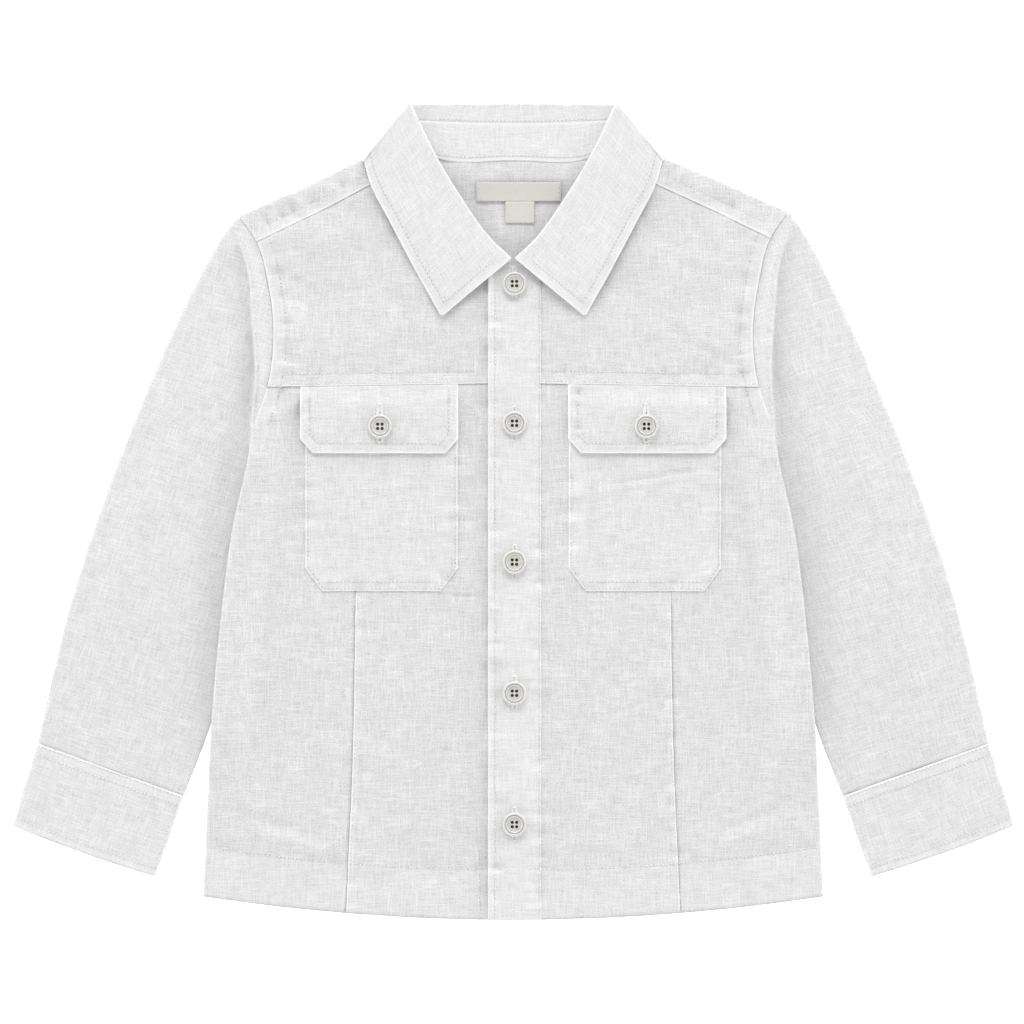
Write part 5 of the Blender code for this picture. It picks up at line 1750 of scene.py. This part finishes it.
def make_fall():
    """Fall of the collar.

    It runs from its free edge up to the roll, round a half circle and down to the
    stand seam.
    """
    front_shares = np.linspace(1.0, 0.0, counted(COLLAR_FRONT))
    core, rise, outward, seam, drop, _ = collar_stations(counted(COLLAR_BACK), 20, front_shares)
    width = np.linalg.norm(rise, axis=1)
    up = np.concatenate([unit(rise), np.zeros((len(rise), 1))], axis=1)[:, None]
    out = outward[:, None]
    base = np.concatenate([core, np.full((len(core), 1), COLLAR_CORE)], axis=1)[:, None]
    fall_share = np.linspace(1.0, FALL_TOP, counted(FALL_WIDE))
    reach = (fall_share * width[:, None])[..., None]
    fall = base - reach * up + FALL_OFFSET * out
    fall[..., 2] -= drop[:, None] * fall_share ** 2
    fall[-1, 0] += POINT_BLUNT * (fall[-2, 1] - fall[-1, 0])

    station = run_along(fall[:, len(fall_share) // 2])
    on_front = (outward[:, 2] > 0.5).astype(float)[:, None]
    from_edge = (1 - fall_share) * width[:, None]
    run = np.broadcast_to(station[:, None], from_edge.shape)
    from_front = station[-1] - run

    away = np.minimum(from_edge, from_front)

    def relief(seed):
        total = COLLAR_SWELL * swell(run, from_edge, seed)
        puckers = np.where(
            from_edge < from_front,
            noise(run / PUCKER_WAVE, from_edge / COLLAR_PUCKER_LENGTH, seed + 5),
            noise(from_edge / PUCKER_WAVE, from_front / COLLAR_PUCKER_LENGTH, seed + 6))
        total += COLLAR_PUCKER * puckers * np.exp(-((away - COLLAR_ROW) / PUCKER_REACH) ** 2)
        total -= COLLAR_GROOVE * np.exp(-((away - COLLAR_ROW) / ROW_GROOVE) ** 2)
        return total * on_front * smooth(fall_share / FALL_CALM)

    angle = np.radians(np.linspace(0.0, 180.0, 11))[:, None]
    offset = (FALL_OFFSET + STAND_OFFSET) / 2 + ROLL_RADIUS * np.cos(angle)
    roll = base + ROLL_RADIUS * np.sin(angle) * up + offset * out
    inside_share = np.linspace(0.0, 1.0, 6)[1:]
    inside = base - (inside_share * seam[:, None])[..., None] * up + STAND_OFFSET * out
    halves = []
    for seed in COLLAR_SEEDS:
        moved = fall + relief(seed)[..., None] * out
        halves.append(np.concatenate([moved, roll, inside], axis=1))
    middle = np.concatenate([mirrored(halves[1][:0:-1], -1), halves[0]])

    roll_run = width[:, None] + ROLL_RADIUS * angle[:, 0]
    inside_run = roll_run[:, -1:] + inside_share * seam[:, None]
    height = np.concatenate([from_edge, roll_run, inside_run], axis=1)
    tone = np.full(height.shape, COLLAR_TONE)
    # front of the fall: pressed edges with a painted highlight; back of the roll: painted shade
    edge_tone = np.maximum(COLLAR_DOUBLE * band(away, COLLAR_ROW), SOFTER_EDGE * pressed(away))
    tone[:, :len(fall_share)] = np.maximum(COLLAR_TONE, on_front * edge_tone)
    roll_columns = slice(len(fall_share), len(fall_share) + roll.shape[1])
    tone[:, roll_columns] += (1 - on_front) * (-COLLAR_TONE - PAINTED_EDGE_SHADE * np.sin(angle[:, 0]))
    along = np.concatenate([run, np.repeat(run[:, :1], height.shape[1] - run.shape[1], axis=1)], axis=1)
    grain = np.stack([along, height], axis=-1)
    grain = np.concatenate([grain[:0:-1] * (-1.0, 1.0), grain]) + GRAIN_START["collar_fall"]
    tone = both_halves(tone, side_sign=False)

    normals = surface_normals(middle, False)
    face = middle + FACED_CLOTH / 2 * normals
    half = len(width) - 1
    first_front = int(np.argmax(on_front[:, 0] > 0))
    paths = []
    for sign in (1, -1):
        stations = np.arange(first_front + 2, len(width) - 1)
        inner_stop = station[-1] - COLLAR_ROW
        stations = stations[station[stations] < inner_stop]
        columns = COLLAR_ROW / width[stations] / (1 - fall_share[-1]) * (len(fall_share) - 1)
        end_columns = np.linspace(columns[-1], (len(fall_share) - 1) * FALL_ROW_END, 40)
        end_row = np.interp(inner_stop, station, np.arange(len(station)))
        rows = half + sign * np.concatenate([stations, np.full(len(end_columns), end_row)])
        columns = np.concatenate([columns, end_columns])
        paths.append((sampled(face, rows, columns), sampled(normals, rows, columns)))
    back_rows = half + np.linspace(-1.0, 1.0, 240) * (first_front - 24)
    columns = np.full(len(back_rows), middle.shape[1] - FALL_ROW_COLUMN)
    paths.append((sampled(face, back_rows, columns), sampled(normals, back_rows, columns)))
    add_cloth(
        "collar_fall", [(middle, grain, tone, FACED_CLOTH, False)],
        with_pieces=[stitching("collar_stitching", paths)])


def make_stand():
    """Stand of the collar: from the stand seam, where the fall ends, down to the neck seam."""
    front_shares = np.linspace(1.0, STAND_FRONT_END, counted(STAND_FRONT))
    back_count = counted(COLLAR_BACK)
    core, rise, outward, seam, _, neck = collar_stations(back_count, 16, front_shares)
    up = np.concatenate([unit(rise), np.zeros((len(rise), 1))], axis=1)
    top = np.concatenate([core, np.full((len(core), 1), COLLAR_CORE)], axis=1)
    top = top - (seam + STAND_SEAM_GAP)[:, None] * up + STAND_OFFSET * outward
    foot = neck + NECK_SEAM_GAP * unit(top - neck) - STAND_FOOT_RISE * outward
    share = np.linspace(0.0, 1.0, STAND_COLUMNS)[:, None]
    half_grid = foot[:, None] + share * (top - foot)[:, None]
    run = run_along(foot)
    height = np.linalg.norm(top - foot, axis=1)[:, None] * share[:, 0]
    ripple = STAND_RIPPLE * noise(run[:, None] / 5.0, height / 6.0, STAND_SEED)
    ripple = ripple * np.sin(math.pi * share[:, 0])
    half_grid = half_grid - ripple[..., None] * outward[:, None]
    grid = both_halves(half_grid)[:, ::-1]
    grain = np.stack([np.repeat(run[:, None], STAND_COLUMNS, axis=1), height], axis=-1)
    grain = np.concatenate([grain[:0:-1] * (-1.0, 1.0), grain])[:, ::-1]
    grain = grain + GRAIN_START["collar_stand"]
    # stand's foot: pressed cloth with a painted highlight at the neck seam
    tone = both_halves(np.maximum(COLLAR_TONE, pressed(height)), side_sign=False)[:, ::-1]
    normals = surface_normals(grid, False)
    face = grid + FACED_CLOTH / 2 * normals
    middle_row = len(run) - 1
    rows = middle_row + np.linspace(-1.0, 1.0, 220) * (back_count - 4)
    columns = np.full(len(rows), STAND_ROW_COLUMN)
    paths = [(sampled(face, rows, columns), sampled(normals, rows, columns))]
    add_cloth(
        "collar_stand", [(grid, grain, tone, FACED_CLOTH, False)],
        with_pieces=[stitching("neck_stitching", paths)])


def make_placket():
    """Button placket: a band down the wearer's left front, over both fronts' edges."""
    columns = PLACKET_X + PLACKET_WIDTH * np.linspace(-0.5, 0.5, counted(PLACKET_WIDTH, FINE_GRID))
    top = np.interp(np.abs(columns), FRONT_NECK.points[:, 0], FRONT_NECK.points[:, 1])
    bottom = hem_height(columns)
    share = np.linspace(0.0, 1.0, counted(PLACKET_LONG, FINE_GRID))[:, None]
    heights = bottom + share * (top - bottom)
    plan = np.stack([np.broadcast_to(columns, heights.shape), heights], axis=-1)
    wall, _ = placket_wall(plan[..., 0])
    height = placket_top(plan[..., 0], plan[..., 1]) - wall / 2
    grain = plan + GRAIN_START["placket"]
    tone = np.full(plan.shape[:2], PLACKET_TONE)
    add_cloth(
        "placket", [(lifted(plan, height), grain, tone, wall, False)],
        with_pieces=[front_stitching("placket")])


def cut_corner_plan(centre, width, top, bottom, corner):
    """Grid of plan points of a patch with two cut lower corners, from its lower edge up."""
    half = width / 2
    corner_x, corner_y = corner
    knots = np.array([-half, corner_x - half, half - corner_x, half])
    steps = [counted(corner_x, FINE_GRID), counted(width - 2 * corner_x, FINE_GRID)]
    offsets = np.concatenate([
        np.linspace(knots[0], knots[1], steps[0])[:-1],
        np.linspace(knots[1], knots[2], steps[1])[:-1],
        np.linspace(knots[2], knots[3], steps[0])])
    columns = centre + offsets
    lower = bottom + np.interp(offsets, knots, (corner_y, 0.0, 0.0, corner_y))
    upper = top(columns)
    share = np.linspace(0.0, 1.0, counted(float((upper - lower).max()), FINE_GRID))[:, None]
    heights = lower + share * (upper - lower)
    return np.stack([np.broadcast_to(columns, heights.shape), heights], axis=-1)


def cut_corner_edge(plan, centre, width, bottom, corner):
    """Distance of plan points in from the sides, the foot and the cut corners of a patch."""
    aside = width / 2 - np.abs(np.abs(plan[..., 0]) - centre)
    above = plan[..., 1] - bottom
    corner_x, corner_y = corner
    cut = (aside / corner_x + above / corner_y - 1) / math.hypot(1 / corner_x, 1 / corner_y)
    return np.minimum.reduce([aside, above, cut])


def make_pocket(word, side):
    """Patch pocket on the front, its top hidden under the flap."""
    def top(x):
        return np.full(len(x), POCKET_TOP)

    plan = cut_corner_plan(POCKET_X, POCKET_WIDTH, top, POCKET_BOTTOM, POCKET_CORNER)
    plan = on_side(plan, side)
    inside = cut_corner_edge(plan, POCKET_X, POCKET_WIDTH, POCKET_BOTTOM, POCKET_CORNER)
    # pocket's edges: pressed cloth with a painted highlight
    edge_tone = np.maximum(POCKET_DOUBLE * band(inside, POCKET_FACING), SOFTER_EDGE * pressed(inside))
    tone = np.maximum(POCKET_TONE, edge_tone)
    height = front_form(plan[..., 0], plan[..., 1]) + ON_FRONT + POCKET_CLOTH / 2
    grain = plan + GRAIN_START["pocket"]
    add_cloth(
        f"pocket_{word}", [(lifted(plan, height), grain, tone, POCKET_CLOTH, False)],
        with_pieces=[front_stitching(f"pocket_{word}")])


def make_flap(word, side):
    """Pocket flap: set into the chest seam, then riding up over the pocket's top edge."""
    def top(x):
        return yoke_height(x) - SEAM_GAP

    plan = on_side(cut_corner_plan(FLAP_X, FLAP_WIDTH, top, FLAP_BOTTOM, FLAP_CORNER), side)
    x, y = plan[..., 0], plan[..., 1]
    inside = cut_corner_edge(plan, FLAP_X, FLAP_WIDTH, FLAP_BOTTOM, FLAP_CORNER)
    height = flap_top(x, y) - FLAP_CLOTH / 2
    # flap's edges: pressed cloth with a painted highlight
    edge_tone = np.maximum(FLAP_DOUBLE * band(inside, FLAP_ROW), pressed(inside))
    tone = np.maximum(FLAP_TONE, edge_tone)
    grain = plan + GRAIN_START["pocket_flap"]
    add_cloth(
        f"pocket_flap_{word}", [(lifted(plan, height), grain, tone, FLAP_CLOTH, False)],
        with_pieces=[front_stitching(f"pocket_flap_{word}")])


def make_label(node, centre_x, top, size, sewn):
    """Small bare woven label lying on the inside of the back, sewn down at both ends or tucked in."""
    width, depth = size
    columns = centre_x + width * np.linspace(-0.5, 0.5, counted(width, LABEL_GRID))
    rows = top - depth * np.linspace(1.0, 0.0, counted(depth, LABEL_GRID))
    plan = np.stack(np.meshgrid(columns, rows), axis=-1)

    def level(x, y):
        sag = LABEL_SAG * noise(x / 7.0, y / 5.0, LABEL_SEED)
        return back_level(x, y) + LABEL_CLEAR + CLOTH + sag - LABEL_CLOTH / 2

    x, y = plan[..., 0], plan[..., 1]
    threads = []
    if sewn:
        paths = []
        for end in (-1, 1):
            column = np.full(40, centre_x + end * (width / 2 - LABEL_INSET))
            run = top - LABEL_INSET - np.linspace(0.0, 1.0, 40) * (depth - 2 * LABEL_INSET)
            path = np.stack([column, run, level(column, run) + LABEL_CLOTH / 2], axis=-1)
            paths.append((path, upward(len(path))))
        threads.append(stitching(f"{node}_stitching", paths))
    add_cloth(
        node, [(lifted(plan, level(x, y)), plan, np.zeros(plan.shape[:2]), LABEL_CLOTH, False)],
        "label", with_pieces=threads)


def ring_faces(index):
    """Faces between neighbouring closed rings of point numbers."""
    after = np.roll(index, -1, axis=1)
    return np.stack([index[:-1], after[:-1], after[1:], index[1:]], axis=-1).reshape(-1, 4)


def revolved(profile, count):
    """Points and faces of a profile of radius and height carried round the vertical axis."""
    profile = np.array(profile)
    turn = np.linspace(0.0, 2 * math.pi, count, endpoint=False)
    ring = np.stack([np.cos(turn), np.sin(turn)], axis=-1)
    plan = profile[:, None, :1] * ring
    points = lifted(plan, np.broadcast_to(profile[:, 1:], plan.shape[:2]))
    index = np.arange(plan.shape[0] * count).reshape(-1, count)
    return points.reshape(-1, 3), ring_faces(index), index


def button_mesh():
    """Turned four-hole button: rim and two grooves round a dished middle, with the holes cut through."""
    form = bmesh.new()
    points, quads, index = revolved(BUTTON_PROFILE, BUTTON_SEGMENTS)
    corners = [form.verts.new(point * MM) for point in points]
    for face in [*quads, index[0][::-1], index[-1]]:
        form.faces.new([corners[number] for number in face])
    blank_mesh = bpy.data.meshes.new("button_blank")
    form.to_mesh(blank_mesh)
    form.free()

    form = bmesh.new()
    for x in (-BUTTON_HOLE_PLACE, BUTTON_HOLE_PLACE):
        for y in (-BUTTON_HOLE_PLACE, BUTTON_HOLE_PLACE):
            made = bmesh.ops.create_cone(
                form,
                cap_ends=True,
                segments=BUTTON_HOLE_SIDES,
                radius1=BUTTON_HOLE_RADIUS * MM,
                radius2=BUTTON_HOLE_RADIUS * MM,
                depth=BUTTON_DRILL_LENGTH * MM,
            )
            bmesh.ops.translate(form, verts=made["verts"], vec=(x * MM, y * MM, 0.0))
    drill_mesh = bpy.data.meshes.new("button_drill")
    form.to_mesh(drill_mesh)
    form.free()

    blank = bpy.data.objects.new("button_blank", blank_mesh)
    drill = bpy.data.objects.new("button_drill", drill_mesh)
    for item in (blank, drill):
        bpy.context.scene.collection.objects.link(item)
    cut = blank.modifiers.new("holes", "BOOLEAN")
    cut.operation = "DIFFERENCE"
    cut.object = drill
    shown = blank.evaluated_get(bpy.context.evaluated_depsgraph_get())
    mesh = bpy.data.meshes.new_from_object(shown)
    for item in (blank, drill):
        bpy.data.objects.remove(item, do_unlink=True)
    mesh.materials.clear()
    mesh.materials.append(MATERIALS["resin"])
    mesh.shade_smooth()
    mesh.set_sharp_from_angle(angle=math.radians(BUTTON_SHARP))
    return mesh


def oval_path(length, spread, pinch):
    """Closed path of a buttonhole's edge.

    It is an oval whose sine and cosine are raised to powers below one, which
    straightens its sides, and it is drawn in towards its top.
    """
    angle = np.linspace(0.0, 2 * math.pi, 72, endpoint=False)
    y = length / 2 * np.sign(np.sin(angle)) * np.abs(np.sin(angle)) ** 0.6
    x = spread * np.sign(np.cos(angle)) * np.abs(np.cos(angle)) ** 0.5
    x = x * (1 - pinch * smooth(y / (length / 2)))
    return np.stack([x, y], axis=-1)


def make_buttonhole(name, x, y, level, size, rng):
    """Worked buttonhole: a bead of close stitches round a slit, which is a thin sheet of painted shade.

    The bead is a half-round profile carried along an oval path, with fine ridges
    across it where each stitch lies.
    """
    length, rise, slit_half, spread, pinch = size
    y = y + rise
    path = oval_path(length, spread, pinch)
    way = unit(np.roll(path, -1, axis=0) - np.roll(path, 1, axis=0))
    out = np.stack([way[:, 1], -way[:, 0]], axis=-1)
    turn = np.radians(np.linspace(-20.0, 200.0, 8))
    ridge = BEAD_RIDGE * (-1.0) ** np.arange(len(path))
    bead = HOLE_BEAD * (1 + ridge + rng.normal(0.0, BEAD_STRAY, len(path)))
    plan = path[None] + (np.cos(turn)[:, None] * bead)[..., None] * out
    height = np.sin(turn)[:, None] * bead * BEAD_FLATNESS
    plan = plan + (x, y)
    points = lifted(plan, level(plan[..., 0], plan[..., 1]) + height).reshape(-1, 3)
    quads = ring_faces(np.arange(len(points)).reshape(len(turn), -1))
    tuck = np.full(len(points), BEAD_TUCK)
    add_piece(name, points, quads[:, ::-1], "thread", {"tuck": tuck})

    # the slit: a thin sheet painted dark as the shade in the cut
    rows = np.linspace(-slit_half, slit_half, 24)
    half = SLIT_HALF_WIDTH * np.sqrt(SLIT_ROUND - (rows / slit_half) ** 2)
    columns = np.linspace(-1.0, 1.0, 5)
    slit = np.stack([half[:, None] * columns + x, np.repeat(rows[:, None], 5, axis=1) + y], axis=-1)
    middle = lifted(slit, level(slit[..., 0], slit[..., 1]) + SLIT_RISE)
    points, quads, _ = shell(middle, SLIT_WALL)
    add_piece(f"{name}_slit", points, quads, "hole")


def make_buttons():
    """Buttons down the placket and one on each flap, with their holes' thread painted dark as shade, and
    buttonholes.
    """
    mesh = button_mesh()
    rng = np.random.default_rng(BEAD_SEED)
    places = [
        (f"button_placket_{index}", PLACKET_X, height, placket_top, PLACKET_HOLE)
        for index, height in enumerate(PLACKET_BUTTONS, start=1)]
    for side, word in ((1, "left"), (-1, "right")):
        places.append((f"button_flap_{word}", side * FLAP_BUTTON[0], FLAP_BUTTON[1], flap_top, FLAP_HOLE))
    for node, x, y, level, hole in places:
        foot = float(level(np.array([x]), np.array([y]))[0]) + BUTTON_CLEAR
        button = mesh.copy()
        coordinates = np.empty(len(button.vertices) * 3, dtype=np.float32)
        button.vertices.foreach_get("co", coordinates)
        coordinates = coordinates.reshape(-1, 3) + np.float32((x * MM, y * MM, foot * MM))
        button.vertices.foreach_set("co", coordinates.ravel())
        item = bpy.data.objects.new(f"{node}_turned", button)
        bpy.context.scene.collection.objects.link(item)
        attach(item, "root")
        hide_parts(node)
        centre = np.array([x, y, foot])
        # thread disc under the button, painted dark brown as the shade in its holes
        points, quads, index = revolved(KNOT_PROFILE, KNOT_SEGMENTS)
        caps = np.concatenate([index[:1, ::-1].reshape(-1, 4), index[-1:].reshape(-1, 4)])
        faces = np.concatenate([quads, caps])
        add_piece(f"{node}_thread", points + centre, faces, "hole")
        make_buttonhole(f"{node}_buttonhole", x, y, level, hole, rng)


# Stage, in metres
FLOOR_SIZE = 6.0
FLOOR_DROP = 0.0002
FLOOR_GLOW = 0.7
HORIZON_LIGHT = 2.88
ZENITH_LIGHT = 0.06
LAMP_POWER = 63.0
LAMP_SIZE = (2.6, 1.4)
LAMP_PLACE = (-0.1, 3.2, 2.2)
CAMERA_PLACE = (-0.00057, -0.00048, 1.3575)
CAMERA_LENS = 100.0
CAMERA_SENSOR = 36.0


def make_stage():
    """Pale floor, soft light from the dome and from above the collar, and the camera straight above."""
    bpy.ops.mesh.primitive_plane_add(size=FLOOR_SIZE, location=(0.0, 0.0, -FLOOR_DROP))
    floor = bpy.context.object
    floor.name = "floor"
    material, _, shader = new_material("matt_white_card")
    shader.inputs["Base Color"].default_value = linear(FLOOR_COLOUR)
    shader.inputs["Roughness"].default_value = 0.9
    shader.inputs["Emission Color"].default_value = (1.0, 1.0, 1.0, 1.0)
    shader.inputs["Emission Strength"].default_value = FLOOR_GLOW
    floor.data.materials.append(material)

    world = bpy.data.worlds.new("studio")
    bpy.context.scene.world = world
    world.use_nodes = True
    background = world.node_tree.nodes["Background"]
    background.inputs["Color"].default_value = (1.0, 1.0, 1.0, 1.0)
    sky = world.node_tree
    way = add_node(sky, "ShaderNodeTexCoord").outputs["Generated"]
    height = add_node(sky, "ShaderNodeSeparateXYZ", {"Vector": way}).outputs["Z"]
    glow = add_node(sky, "ShaderNodeMapRange", {
        "Value": height, "To Min": HORIZON_LIGHT, "To Max": ZENITH_LIGHT})
    sky.links.new(glow.outputs["Result"], background.inputs["Strength"])

    lamp = bpy.data.lights.new("softbox", "AREA")
    lamp.shape = "RECTANGLE"
    lamp.size, lamp.size_y = LAMP_SIZE
    lamp.energy = LAMP_POWER
    softbox = bpy.data.objects.new("softbox", lamp)
    softbox.location = LAMP_PLACE
    aim = -np.array(softbox.location)
    tilt = math.atan2(math.hypot(aim[0], aim[1]), -aim[2])
    softbox.rotation_euler = (tilt, 0.0, math.atan2(aim[0], -aim[1]) + math.pi)
    bpy.context.scene.collection.objects.link(softbox)

    camera = bpy.data.cameras.new("above")
    camera.lens = CAMERA_LENS
    camera.sensor_width = CAMERA_SENSOR
    above = bpy.data.objects.new("above", camera)
    above.location = CAMERA_PLACE
    bpy.context.scene.collection.objects.link(above)
    bpy.context.scene.camera = above
    bpy.context.scene.view_settings.view_transform = "Standard"


def main():
    make_stage()
    make_back()
    for side, word, front_edge in ((1, "left", LEFT_FRONT_EDGE), (-1, "right", -RIGHT_FRONT_EDGE)):
        make_yoke(word, side, front_edge)
        make_centre_front(word, side, front_edge)
        make_side_front(word, side)
        make_sleeve(word, side)
        make_cuff(word, side)
        make_pocket(word, side)
        make_flap(word, side)
    make_placket()
    make_fall()
    make_stand()
    label_top = LABEL_PLACE[1] + LABEL_SIZE[1] / 2
    make_label("label", LABEL_PLACE[0], label_top, LABEL_SIZE, True)
    make_label("size_tab", TAB_X, label_top - LABEL_SIZE[1] - SEAM_GAP, TAB_SIZE, False)
    make_buttons()


main()
